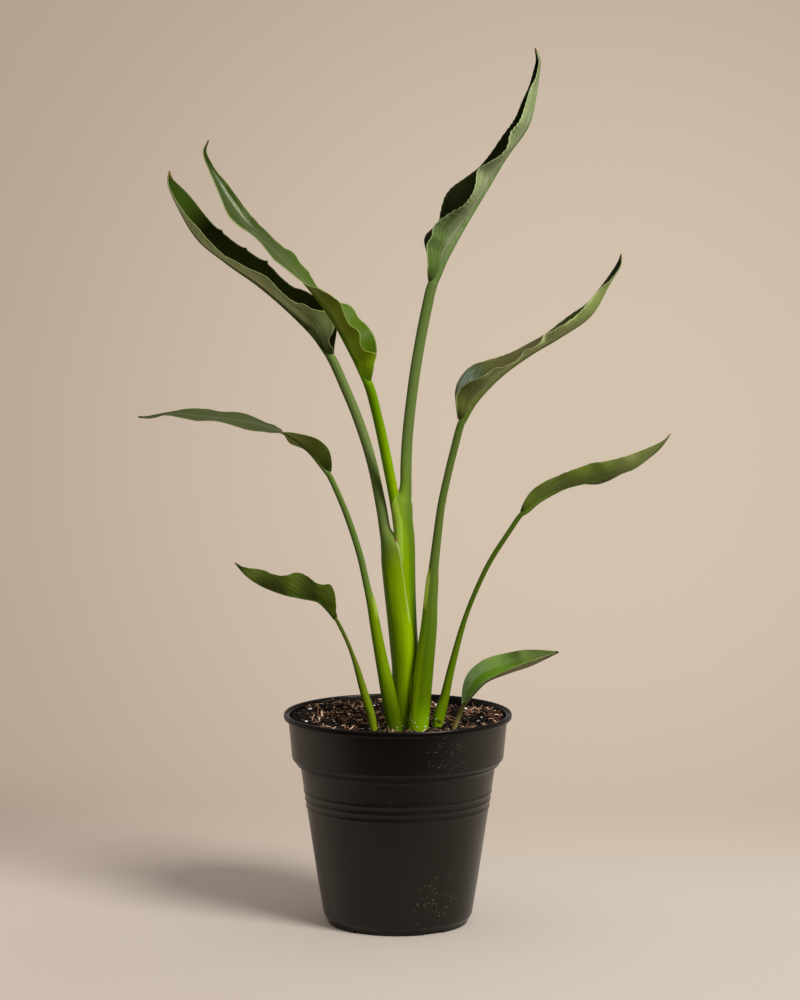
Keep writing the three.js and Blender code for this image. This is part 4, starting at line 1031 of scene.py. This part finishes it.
def bead():
    """The rolled rim as an arc, from under its outer edge over to the inside."""
    radius, height = RIM_RADIUS - BEAD_HALF_WIDTH, POT_HEIGHT - BEAD_HEIGHT / 2
    points = []
    for turn in np.radians(np.linspace(-75, 165, 21)):
        out, up = BEAD_HALF_WIDTH * math.cos(turn), BEAD_HEIGHT / 2 * math.sin(turn)
        points.append([radius + out, height + up])
    return points


def turned(profile, segments):
    """Points and faces of a closed turned form, whose profile starts and ends on the axis."""
    profile = np.asarray(profile, float)
    angle = 2 * np.pi * np.arange(segments) / segments
    around = np.stack([np.cos(angle), np.sin(angle)], axis=1)
    rings = [np.column_stack([around * r, np.full(segments, z)]) for r, z in profile[1:-1]]
    points = np.vstack([[0, 0, profile[0][1]], *rings, [0, 0, profile[-1][1]]])
    faces = [[i + 1 for i in face] for face in loop_faces(len(rings), segments)]
    last = len(points) - 1
    top = 1 + (len(rings) - 1) * segments
    for k in range(segments):
        following = (k + 1) % segments
        faces.append([0, 1 + following, 1 + k])
        faces.append([last, top + k, top + following])
    return points, faces


def pot_profile():
    """The pot's section as [radius, height], from the axis under it to the axis inside it."""
    lower = rounded([
        [0, 0],
        [PAD_RADIUS, 0],
        [PAD_RADIUS + 1.5, FOOT_HEIGHT],
        [FOOT_INNER_RADIUS - 0.4, FOOT_HEIGHT],
        [FOOT_INNER_RADIUS, 0],
        [FOOT_OUTER_RADIUS, 0],
        [FOOT_OUTER_RADIUS + 0.4, BODY_BOTTOM - 0.9],
        [BODY_BOTTOM_RADIUS - 1.6, BODY_BOTTOM - 0.4],
        [BODY_BOTTOM_RADIUS, BODY_BOTTOM + 2.4],
        [body_radius(RIDGES_FROM), RIDGES_FROM],
    ], 0.9)
    middle = [point for z in RIDGE_HEIGHTS for point in ridge(z)]
    upper = rounded([
        [body_radius(RIDGES_TO), RIDGES_TO],
        [body_radius(SHOULDER_BOTTOM), SHOULDER_BOTTOM],
        [COLLAR_BOTTOM_RADIUS - 2.9, SHOULDER_STEP - 0.5],
        [COLLAR_BOTTOM_RADIUS - 2.5, SHOULDER_STEP + 1],
        [COLLAR_BOTTOM_RADIUS, COLLAR_BOTTOM],
        [COLLAR_TOP_RADIUS, POT_HEIGHT - BEAD_HEIGHT - 0.5],
        [RIM_RADIUS - BEAD_HALF_WIDTH, POT_HEIGHT - BEAD_HEIGHT],
    ], 1.2)
    inside = rounded([
        [COLLAR_TOP_RADIUS - WALL + 0.6, POT_HEIGHT - 1.6],
        [COLLAR_TOP_RADIUS - WALL, POT_HEIGHT - BEAD_HEIGHT],
        *reversed(inner_wall(0)),
        [PAD_RADIUS + 3.5, FOOT_HEIGHT + FLOOR_THICKNESS],
        [PAD_RADIUS + 1.5, FLOOR_THICKNESS],
        [0, FLOOR_THICKNESS],
    ], 0.8)
    return np.vstack([lower, middle, upper, bead(), inside])


def drain_cutters():
    """Cylinders through the pot's floor, in a ring."""
    cutters = []
    for i in range(DRAIN_HOLES):
        angle = 2 * math.pi * (i + 0.5) / DRAIN_HOLES
        bpy.ops.mesh.primitive_cylinder_add(
            vertices=DRAIN_HOLE_SIDES, radius=DRAIN_HOLE_RADIUS * MM, depth=CUTTER_DEPTH * MM)
        hole = bpy.context.object
        hole.location = Vector((math.cos(angle), math.sin(angle), 0)) * DRAIN_HOLE_RING * MM
        hole.location.z = FOOT_HEIGHT * MM
        cutters.append(hole)
    return cutters


def notch_cutters():
    """Blocks through the pot's foot, in a ring."""
    cutters = []
    for i in range(NOTCHES):
        angle = 2 * math.pi * i / NOTCHES
        bpy.ops.mesh.primitive_cube_add(size=1)
        notch = bpy.context.object
        notch.scale = (CUTTER_DEPTH * MM, NOTCH_WIDTH * MM, 2 * NOTCH_HEIGHT * MM)
        notch.rotation_euler = (0, 0, angle)
        notch.location = Vector((math.cos(angle), math.sin(angle), 0)) * FOOT_OUTER_RADIUS * MM
        cutters.append(notch)
    return cutters


def cut_from(piece, cutters):
    """Cuts the cutters out of a piece, and removes them."""
    for cutter in cutters:
        cut = piece.modifiers.new("cut", "BOOLEAN")
        cut.operation = "DIFFERENCE"
        cut.solver = "MANIFOLD"
        cut.object = cutter
    graph = bpy.context.evaluated_depsgraph_get()
    shaped = bpy.data.meshes.new_from_object(piece.evaluated_get(graph))
    piece.modifiers.clear()
    piece.data = shaped
    smooth_shaded(shaped, POT_CREASE)
    for cutter in cutters:
        bpy.data.objects.remove(cutter)


def build_pot():
    """The nursery pot: turned, then cut by its drain holes and by the notches of its foot."""
    points, faces = turned(pot_profile(), POT_SEGMENTS)
    finish = pot_material()
    pot = new_piece("nursery_pot", points, faces, finish, ["pot"], crease=POT_CREASE)
    cut_from(pot, drain_cutters() + notch_cutters())


def soil_height(x, y):
    """The soil's lumpy top, banked up against the wall in places."""
    height = SOIL_TOP - 0.4
    for bank_x, bank_y, rise, half in SOIL_BANKS:
        height += rise * math.exp(-((x - bank_x) ** 2 + (y - bank_y) ** 2) / (2 * half**2))
    lumps = 2.4 * noise.noise(Vector((x, y, 0)) * 0.11) + 1.9 * noise.noise(Vector((x, y, 9)) * 0.27)
    grains = 0.8 * noise.noise(Vector((x, y, 17)) * 0.8)
    return height + lumps + grains


def build_soil():
    """The soil's body, with its top in relief."""
    wall = inner_wall(SOIL_GAP)
    top_radius = COLLAR_TOP_RADIUS - WALL - SOIL_GAP - 0.8
    radii = np.linspace(top_radius, 0.8, SOIL_RINGS)
    profile = [[0, wall[0][1]], *wall, *[[r, SOIL_TOP] for r in radii], [0, SOIL_TOP]]
    points, faces = turned(profile, SOIL_SEGMENTS)
    for point in points:
        if abs(point[2] - SOIL_TOP) < 1e-6:
            point[2] = soil_height(point[0], point[1])
    new_piece("potting_soil", points, faces, soil_material(), ["soil"])


def scattered_places(draw, count, radius):
    """Even random places on the soil."""
    spread = radius * np.sqrt(draw.random(count))
    angle = 2 * np.pi * draw.random(count)
    return np.stack([spread * np.cos(angle), spread * np.sin(angle)], axis=1)


class Heap:
    """Many small bits that make one piece, each with a shade of its own."""

    def __init__(self, draw):
        self.draw = draw
        self.count = 0
        self.points = []
        self.faces = []
        self.shades = []

    def add(self, spots, sides):
        self.faces += [tuple(self.count + i for i in side) for side in sides]
        self.count += len(spots)
        self.points.append(spots)
        self.shades.append(np.full(len(spots), self.draw.random()))

    def build(self, name, material):
        values = {"shade": np.concatenate(self.shades)}
        points = np.vstack(self.points)
        new_piece(name, points, self.faces, material, values=values)


def strand(draw, place, length, width):
    """A short bent splinter of coir or bark, with three sides."""
    heading = draw.uniform(0, 2 * np.pi)
    tilt = draw.normal(0.1, 0.38)
    level = math.cos(tilt)
    way = np.array([math.cos(heading) * level, math.sin(heading) * level, math.sin(tilt)])
    side = unit(np.cross(way, [0.0, 0.0, 1.0]))
    up = np.cross(side, way)
    bend = draw.normal(0, 0.16) * length
    lift = draw.normal(0, 0.08) * length
    base = np.array([*place, soil_height(*place) + draw.uniform(-0.2, 1.6)])
    rows = []
    for share in (-0.5, -0.2, 0.15, 0.5):
        middle = base + way * share * length + side * bend * share**2 * 2 + up * lift * share**2 * 2
        size = width * (1 - 1.2 * share**2)
        for k in range(3):
            a = 2 * np.pi * k / 3 + heading
            rows.append(middle + side * math.cos(a) * size + up * math.sin(a) * size * 0.6)
    return np.array(rows)


def build_strands(name, seed, count, lengths, widths, material):
    """A layer of splinters over the soil, which stays inside the pot and leaves patches bare."""
    draw = np.random.default_rng(seed)
    limit = COLLAR_TOP_RADIUS - WALL - 1
    sides = loop_faces(4, 3) + [(0, 1, 2), (9, 10, 11)]
    heap = Heap(draw)
    for place in scattered_places(draw, count, limit - 1):
        if noise.noise(Vector((*place, 40)) * 0.045) < BARE_PATCHES:
            continue
        made = strand(draw, place, draw.uniform(*lengths), draw.uniform(*widths))
        if np.linalg.norm(made[:, :2], axis=1).max() > limit or made[:, 2].max() > POT_HEIGHT + 1:
            continue
        heap.add(made, sides)
    heap.build(name, material)


def lump(draw, centre, size, squash=0.7):
    """An uneven lump: a ball of 42 points, each moved in or out."""
    shaped = bmesh.new()
    bmesh.ops.create_icosphere(shaped, subdivisions=2, radius=1)
    spots = np.array([v.co for v in shaped.verts])
    sides = [tuple(v.index for v in face.verts) for face in shaped.faces]
    shaped.free()
    stretch = draw.uniform(0.7, 1.3, 3) * [1, 1, squash]
    turn = draw.uniform(0, 2 * np.pi)
    cos, sin = math.cos(turn), math.sin(turn)
    spin = np.array([[cos, -sin, 0], [sin, cos, 0], [0, 0, 1]])
    spots = spots * draw.uniform(0.78, 1.12, (len(spots), 1)) * stretch @ spin
    return spots * size + centre, sides


def build_grit(material):
    """Specks of perlite that cling to the sheaths just above the soil."""
    draw = np.random.default_rng(GRIT_SEED)
    heap = Heap(draw)
    for name, count in GRIT_ON:
        for _ in range(count):
            z = SOIL_TOP - 1 + GRIT_HEIGHT * draw.random() ** 1.7
            x, y, half_width, half_depth = section_at(BY_NAME[name], z)
            turn = draw.uniform(-1.2, 1.2)
            spot = np.array([x + half_width * math.sin(turn), y - half_depth * math.cos(turn), z])
            heap.add(*lump(draw, spot, draw.uniform(*GRIT_SIZES), 0.9))
    heap.build("perlite_grit", material)


def build_lumps(name, seed, places, sizes, material, proud):
    """Lumps that lie in the soil's top, and stand out by a share of their size."""
    draw = np.random.default_rng(seed)
    heap = Heap(draw)
    for place, size in zip(places, sizes):
        height = soil_height(*place) + size * proud
        heap.add(*lump(draw, np.array([*place, height]), size))
    heap.build(name, material)


def paint(red, green, blue):
    """A colour from the 0 to 255 values that it shows as, for a shader."""
    shown = np.array([red, green, blue]) / 255
    linear = np.where(shown <= 0.04045, shown / 12.92, ((shown + 0.055) / 1.055) ** 2.4)
    return (*linear.tolist(), 1.0)


def in_metres(place):
    return tuple(c * MM for c in place)


class Recipe:
    """A node tree, with a short call for each kind of node that the finishes use."""

    def __init__(self, tree):
        self.tree = tree

    def give(self, socket, value):
        if isinstance(value, bpy.types.NodeSocket):
            self.tree.links.new(value, socket)
        else:
            socket.default_value = value

    def node(self, kind, inputs, **settings):
        made = self.tree.nodes.new(kind)
        for name, value in settings.items():
            setattr(made, name, value)
        for key, value in inputs.items():
            self.give(made.inputs[key], value)
        return made

    def place(self, kind="Object"):
        return self.node("ShaderNodeTexCoord", {}).outputs[kind]

    def calc(self, operation, *values, clamped=False):
        inputs = dict(enumerate(values))
        made = self.node("ShaderNodeMath", inputs, operation=operation, use_clamp=clamped)
        return made.outputs[0]

    def product(self, first, *others):
        for other in others:
            first = self.calc("MULTIPLY", first, other)
        return first

    def rest(self, share):
        """What a share leaves of 1."""
        return self.calc("SUBTRACT", 1.0, share)

    def arrow(self, operation, *values):
        return self.node("ShaderNodeVectorMath", dict(enumerate(values)), operation=operation)

    def mixed(self, share, first, second):
        inputs = {0: share, 6: first, 7: second}
        return self.node("ShaderNodeMix", inputs, data_type="RGBA").outputs[2]

    def between(self, value, low, high):
        """0 at low and 1 at high, and smooth between them."""
        inputs = {"Value": value, "From Min": low, "From Max": high}
        return self.node("ShaderNodeMapRange", inputs, interpolation_type="SMOOTHSTEP").outputs[0]

    def band(self, value, low, high, soft):
        """1 from low to high, falling softly to 0 past both."""
        rises = self.between(value, low - soft, low + soft)
        return self.product(rises, self.between(value, high + soft, high - soft))

    def noise(self, vector, scale, detail=3.0, roughness=0.55):
        inputs = {"Vector": vector, "Scale": scale, "Detail": detail, "Roughness": roughness}
        return self.node("ShaderNodeTexNoise", inputs).outputs[0]

    def spots(self, vector, scale):
        inputs = {"Vector": vector, "Scale": scale}
        return self.node("ShaderNodeTexVoronoi", inputs).outputs["Distance"]

    def number(self, name):
        return self.node("ShaderNodeAttribute", {}, attribute_name=name).outputs["Fac"]

    def vector(self, name):
        return self.node("ShaderNodeAttribute", {}, attribute_name=name).outputs["Vector"]

    def split(self, vector):
        return self.node("ShaderNodeSeparateXYZ", {0: vector}).outputs

    def joined(self, x, y, z):
        return self.node("ShaderNodeCombineXYZ", {0: x, 1: y, 2: z}).outputs[0]

    def leg(self, flat, start, end):
        """How far places on the front plane are from a straight leg of [x, z]."""
        way = Vector((end[0] - start[0], 0, end[1] - start[1]))
        away = self.arrow("SUBTRACT", flat, (start[0], 0, start[1])).outputs[0]
        along = self.arrow("DOT_PRODUCT", away, way).outputs["Value"]
        share = self.calc("DIVIDE", along, way.length_squared, clamped=True)
        inputs = {0: way, "Scale": share}
        reached = self.node("ShaderNodeVectorMath", inputs, operation="SCALE")
        return self.arrow("DISTANCE", away, reached.outputs[0]).outputs["Value"]

    def course(self, flat, points, half, fade):
        """1 on a course of [x, z] over a form's front, falling to 0 away from it."""
        nearest = 1e3
        for start, end in zip(points[:-1], points[1:]):
            nearest = self.calc("MINIMUM", self.leg(flat, start, end), nearest)
        return self.between(nearest, fade[0] * half, fade[1] * half)


class Finish(Recipe):
    """A material with one plain shader, whose parts are set by values or by nodes."""

    def __init__(self, name, roughness=0.5, specular=0.5):
        self.material = bpy.data.materials.new(name)
        self.material.use_nodes = True
        super().__init__(self.material.node_tree)
        self.shader = self.tree.nodes["Principled BSDF"]
        self.set("Roughness", roughness)
        self.set("Specular IOR Level", specular)

    def set(self, name, value):
        self.give(self.shader.inputs[name], value)

    def bumped(self, height, distance):
        inputs = {"Height": height, "Distance": distance}
        self.set("Normal", self.node("ShaderNodeBump", inputs).outputs[0])

    def coloured(self, colour):
        self.set("Base Color", colour)
        return self.material


class BladeFinish(Finish):
    """A blade, glossy above, paler and waxy below, with veins, a pale midrib and a thin margin."""

    def __init__(self, leaf):
        super().__init__(f"{leaf['name']} blade")
        self.leaf = leaf
        self.along = self.number("along")
        self.across = self.number("across")
        self.below = self.between(self.number("face"), 0.35, 0.65)
        self.near = self.between(self.across, -0.02, 0.02)
        self.reach = self.calc("ABSOLUTE", self.across)
        over, down = self.product(self.reach, VEINS_ACROSS), self.product(self.along, VEINS_ALONG)
        self.lines = self.calc("SUBTRACT", over, down)
        self.vein = self.calc("SINE", self.product(self.lines, 2 * math.pi))
        self.vein_share = self.between(self.vein, -0.2, 1.0)
        self.fine_streak = self.streaks(9.0, 2.6)
        self.rib = self.number("midrib")

    def tone(self, name):
        return paint(*self.leaf[name])

    def streaks(self, length, scale):
        """Uneven streaks that run with the veins."""
        place = self.joined(self.lines, self.product(self.along, length), self.across)
        return self.noise(place, scale, 2.0)

    def tinted(self, colour, share, strength, name):
        """A colour that gives way to a tone of the leaf, by a share and a strength."""
        return self.mixed(self.product(share, strength), colour, self.tone(name))

    def banded(self, colour, side):
        """A face's colour with the leaf's bands on it: some its own colour, some painted sheen, shade or
        light.
        """
        for face, half, reaches, lengths, tone, strength in self.leaf["bands"]:
            if face != side:
                continue
            over, down = self.band(self.reach, *reaches, 0.08), self.band(self.along, *lengths, 0.06)
            streaky = self.between(self.fine_streak, 0.3, 0.56)
            on_half = self.near if half == "near" else self.rest(self.near)
            shown = self.product(over, down, streaky, on_half, strength)
            colour = self.mixed(shown, colour, paint(*tone))
        return colour

    def upper(self):
        to_tip = self.between(self.along, *self.leaf["tipRange"])
        colour = self.mixed(to_tip, self.tone("above"), self.tone("aboveTip"))
        stripes = self.product(self.between(self.fine_streak, 0.46, 0.64), self.leaf["stripes"])
        towards_tip = self.calc("ADD", self.product(to_tip, 0.75), 0.25)
        colour = self.tinted(colour, stripes, towards_tip, "vein")
        colour = self.tinted(colour, self.vein_share, 0.06 * self.leaf["veins"], "vein")
        colour = self.tinted(colour, self.rib, 0.5 * self.leaf["veins"], "vein")
        return self.banded(colour, "above")

    def lower(self):
        streaky = self.between(self.streaks(6.0, 0.9), 0.4, 0.66)
        colour = self.mixed(streaky, self.tone("below"), self.tone("belowLight"))
        colour = self.tinted(colour, self.between(self.fine_streak, 0.5, 0.66), 0.4, "vein")
        near_base = self.rest(self.between(self.along, 0.0, 0.22))
        colour = self.tinted(colour, near_base, 0.9, "base")
        colour = self.tinted(colour, self.vein_share, 0.16, "vein")
        colour = self.tinted(colour, self.rib, 0.8, "rib")
        return self.banded(colour, "below")

    def complete(self):
        colour = self.mixed(self.below, self.upper(), self.lower())
        near_pale, far_pale = self.leaf["edges"]
        pale = self.calc("ADD", self.product(self.near, near_pale - far_pale), far_pale)
        colour = self.tinted(colour, self.number("edge"), pale, "margin")
        colour = self.mixed(self.between(self.along, 0.965, 0.99), colour, self.tone("tip"))
        gloss, wax = self.leaf["gloss"], self.leaf["wax"]
        shine = self.calc("ADD", self.product(self.rest(self.below), gloss - wax), wax)
        self.set("Specular IOR Level", shine)
        mottle = self.noise(self.place(), 60.0, 4.0)
        dull = self.calc("ADD", self.product(self.below, 0.14), 0.3)
        self.set("Roughness", self.calc("ADD", self.product(mottle, 0.12), dull))
        relief = self.calc("ADD", self.product(self.vein, 0.5), self.product(mottle, 0.8))
        self.bumped(relief, 0.00012)
        return self.coloured(colour)


def marked(made, colour, place, height, marks):
    """A stalk's colour with the marks on its front, some of which are painted light."""
    flat = made.arrow("MULTIPLY", place, (1 / MM, 0, 1 / MM)).outputs[0]
    front = made.between(made.split(made.place("Normal"))[1], 0.3, 0.0)
    for kind, half, points in marks:
        tone, strength, fade, end_fade = MARK_KINDS[kind]
        levels = [point[1] * MM for point in points]
        ends = made.band(height, min(levels), max(levels), end_fade * MM)
        shown = made.product(made.course(flat, points, half, fade), front, ends, strength)
        colour = made.mixed(shown, colour, paint(*tone))
    return colour


def stalk_material(leaf):
    """Green above and yellow-green near the soil, one side with painted shade or painted light, fine lines,
    and marks, some of them painted light.
    """
    made = Finish(f"{leaf['name']} stalk", roughness=0.42, specular=0.06)
    place = made.place()
    height = made.split(place)[2]
    fibre = made.vector("fibre")
    low, high = leaf["stalkHeights"]
    upper_share = made.between(height, low * MM, high * MM)
    # One side takes stalkPaintedSide: painted shade where the light falls away, and painted light on the
    # right leaf
    side = made.between(made.split(fibre)[0], *leaf["paintedSideRange"])
    lines = made.noise(fibre, 3.2, 3.0, 0.6)
    colour = made.mixed(side, paint(*leaf["stalkPaintedSide"]), paint(*leaf["stalkBase"]))
    colour = made.mixed(upper_share, colour, paint(*leaf["stalk"]))
    lined = made.product(made.between(lines, 0.45, 0.75), 0.35)
    colour = made.mixed(lined, colour, paint(*leaf["stalkLine"]))
    foot_tone, foot_high, foot_low = leaf["foot"]
    at_foot = made.between(height, foot_high * MM, foot_low * MM)
    colour = made.mixed(at_foot, colour, paint(*foot_tone))
    colour = marked(made, colour, place, height, leaf["marks"])
    made.bumped(lines, 0.0002)
    return made.coloured(colour)


def dust(made, place):
    """Fine and coarse specks, thickest in cloudy patches and at the pot's dusty places."""
    dusty = made.between(made.noise(place, 40.0, 3.0), 0.62, 0.75)
    for spot, radius in DUSTY_PLACES:
        away = made.arrow("DISTANCE", place, in_metres(spot)).outputs["Value"]
        dusty = made.calc("ADD", dusty, made.between(away, radius * MM, 0.3 * radius * MM))
    sparse = made.between(made.noise(place, 170.0, 2.0), 0.47, 0.62)
    fine = made.between(made.spots(place, 620.0), 0.24, 0.12)
    coarse = made.between(made.spots(place, 330.0), 0.17, 0.08)
    return made.product(made.calc("MAXIMUM", fine, coarse), made.product(sparse, dusty))


def pot_material():
    """Satin black moulded plastic with a fine grain and a little dust."""
    made = Finish("black plastic")
    made.set("Specular Tint", WARM_GLOSS)
    place = made.place()
    grain = made.noise(place, 900.0, 2.0)
    cloud = made.noise(place, 22.0, 4.0)
    colour = made.mixed(cloud, paint(7, 5, 3), paint(11, 8, 6))
    colour = made.mixed(made.product(dust(made, place), 0.6), colour, paint(150, 136, 120))
    height = made.split(place)[2]
    shoulder = made.band(height, SHOULDER_BOTTOM * MM, COLLAR_BOTTOM * MM, 2 * MM)
    rim = made.between(height, (POT_HEIGHT - 7) * MM, (POT_HEIGHT - 4) * MM)
    duller = made.product(made.calc("ADD", shoulder, rim), 0.22)
    made.set("Specular IOR Level", made.calc("SUBTRACT", 0.37, duller))
    made.set("Roughness", made.calc("ADD", 0.27, made.product(cloud, 0.08)))
    made.bumped(grain, 0.00004)
    return made.coloured(colour)


def soil_material():
    """Dark, damp, crumbly soil."""
    made = Finish("soil", roughness=0.95, specular=0.1)
    crumbs = made.noise(made.place(), 420.0, 5.0, 0.7)
    colour = made.mixed(made.between(crumbs, 0.45, 0.7), paint(7, 5, 4), paint(46, 30, 21))
    made.bumped(crumbs, 0.0012)
    return made.coloured(colour)


def shaded_material(name, dark, middle, light):
    """A finish for many small bits: each takes its own shade from dark to light."""
    made = Finish(name, roughness=0.8, specular=0.25)
    shade = made.number("shade")
    speckle = made.noise(made.place(), 1500.0, 2.0)
    colour = made.mixed(made.between(shade, 0.1, 0.75), paint(*dark), paint(*middle))
    colour = made.mixed(made.between(shade, 0.6, 0.97), colour, paint(*light))
    colour = made.mixed(made.product(speckle, 0.3), colour, paint(*dark))
    made.bumped(speckle, 0.0002)
    return made.coloured(colour)


def root_material():
    """Fleshy tan roots and crown, with a browner, scarred skin in places."""
    made = Finish("root", roughness=0.7, specular=0.3)
    patches = made.noise(made.place(), 130.0, 4.0)
    colour = made.mixed(made.between(patches, 0.4, 0.65), paint(196, 164, 112), paint(140, 104, 66))
    made.bumped(patches, 0.0008)
    return made.coloured(colour)


def pool_colour(recipe, way):
    """The backdrop's colour along a way out from its origin: brightest in a soft pool."""
    turn = recipe.calc("ARCCOSINE", recipe.arrow("DOT_PRODUCT", way, POOL_WAY).outputs["Value"])
    share = recipe.between(turn, *POOL_EDGES)
    return recipe.mixed(share, paint(*POOL_BRIGHT), paint(*POOL_DIM))


def floor_colour(made, place, x, y):
    """Painted shade to the pot's left and painted light to its right near it, and the backdrop's painted
    pool of light further off.
    """
    outward = made.arrow("SUBTRACT", place, in_metres(POOL_ORIGIN)).outputs[0]
    way = made.arrow("NORMALIZE", outward).outputs[0]
    near = made.rest(made.between(y, *FLOOR_BEHIND))
    distance = made.arrow("LENGTH", place).outputs["Value"]
    around = made.rest(made.between(distance, *FLOOR_AROUND))
    from_left = made.between(x, *FLOOR_SIDES)
    near_colour = made.mixed(from_left, paint(*FLOOR_SHADED_LEFT), paint(*FLOOR_LIT_RIGHT))
    return made.mixed(made.product(near, around), pool_colour(made, way), near_colour)


def floor_material():
    """A matt floor that shows its colours as given, and is painted dark in front for reflections and
    bounced light alone: painted shade that the camera does not see.
    """
    made = Finish("studio floor", roughness=1.0, specular=0.0)
    place = made.place()
    x, y, _ = made.split(place)
    inputs = {0: 1.0, 6: floor_colour(made, place, x, y), 7: (*FLOOR_LIGHT, 1.0)}
    evened = made.node("ShaderNodeMix", inputs, data_type="RGBA", blend_type="DIVIDE").outputs[2]
    thrown_back = made.rest(made.node("ShaderNodeLightPath", {}).outputs["Is Camera Ray"])
    # Painted shade: in front of the pot the floor turns dark for reflections and bounced light, standing in
    # for a dark room
    in_front = made.product(made.between(y, *FLOOR_FRONT_EDGE), FLOOR_FRONT_PAINTED_SHADE)
    shaded_in_front = made.mixed(made.product(in_front, thrown_back), evened, paint(0, 0, 0))
    return made.coloured(shaded_in_front)


def add_object(name, data):
    made = bpy.data.objects.new(name, data)
    bpy.context.scene.collection.objects.link(made)
    return made


def build_floor():
    corners = ((-1, -1), (1, -1), (1, 1), (-1, 1))
    points = [(x * FLOOR_HALF, y * FLOOR_HALF, 0) for x, y in corners]
    mesh = bpy.data.meshes.new("studio_floor")
    mesh.from_pydata(points, [], [(0, 1, 2, 3)])
    mesh.materials.append(floor_material())
    add_object("studio_floor", mesh)


def build_key_light():
    lamp = bpy.data.lights.new("key", "SUN")
    lamp.energy = KEY_STRENGTH
    lamp.angle = math.radians(KEY_ANGLE)
    lamp.color = KEY_COLOUR
    key = add_object("key", lamp)
    key.rotation_euler = Vector(KEY_FROM).to_track_quat("Z", "Y").to_euler()


def build_room():
    """A dim room that is brightest overhead and behind the plant, with the backdrop in view."""
    world = bpy.data.worlds.new("room")
    world.use_nodes = True
    world.node_tree.nodes.clear()
    made = Recipe(world.node_tree)
    way = made.place("Generated")
    _, y, z = made.split(way)
    overhead = made.between(z, -0.3, 0.9)
    facing_front = made.between(y, 0.1, -0.6)
    dimming = made.product(facing_front, made.rest(overhead), FRONT_DIMMING)
    level = made.product(made.calc("ADD", overhead, ROOM_LEAST), made.rest(dimming))
    inputs = {"Color": (*ROOM_COLOUR, 1.0), "Strength": made.product(level, ROOM_STRENGTH)}
    room = made.node("ShaderNodeBackground", inputs)
    backdrop = made.node("ShaderNodeBackground", {"Color": pool_colour(made, way)})
    seen = made.node("ShaderNodeLightPath", {}).outputs["Is Camera Ray"]
    inputs = {0: seen, 1: room.outputs[0], 2: backdrop.outputs[0]}
    chosen = made.node("ShaderNodeMixShader", inputs)
    made.node("ShaderNodeOutputWorld", {"Surface": chosen.outputs[0]})
    bpy.context.scene.world = world


def build_camera():
    lens = bpy.data.cameras.new("camera")
    lens.sensor_width = SENSOR_WIDTH
    lens.lens = FOCAL_PIXELS * SENSOR_WIDTH / IMAGE_LONG_SIDE
    lens.clip_end = CAMERA_REACH
    camera = add_object("camera", lens)
    camera.location = in_metres(CAMERA_PLACE)
    camera.rotation_euler = (math.pi / 2 - CAMERA_PITCH, 0, 0)
    bpy.context.scene.camera = camera


def build_soil_bits():
    """Splinters, bark and perlite on the soil."""
    build_strands(*FIBRES, shaded_material("fine fibre", *FIBRE_TONES))
    build_strands(*SPLINTERS, shaded_material("coarse fibre", *SPLINTER_TONES))
    draw = np.random.default_rng(PLACES_SEED)
    count, reach, sizes, proud = BARK
    places = scattered_places(draw, count, reach)
    bark = shaded_material("bark", *BARK_TONES)
    build_lumps("soil_bark", BARK_SEED, places, draw.uniform(*sizes, count), bark, proud)
    count, reach, sizes, proud = SMALL_PERLITE
    large = np.array(LARGE_PERLITE)
    places = np.vstack([large[:, :2], scattered_places(draw, count, reach)])
    sizes = np.concatenate([large[:, 2], draw.uniform(*sizes, count)])
    white = shaded_material("perlite", *PERLITE_TONES)
    build_lumps("perlite", PERLITE_SEED, places, sizes, white, proud)
    build_grit(white)


def dress_rhizome():
    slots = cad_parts["rhizome"].data.materials
    slots.clear()
    slots.append(root_material())


build_camera()
build_key_light()
build_room()
build_floor()
bpy.context.scene.view_settings.view_transform = "Standard"

build_pot()
build_soil()
build_soil_bits()
dress_rhizome()
for each in LEAVES:
    build_blade(each)
    build_stalk(each)
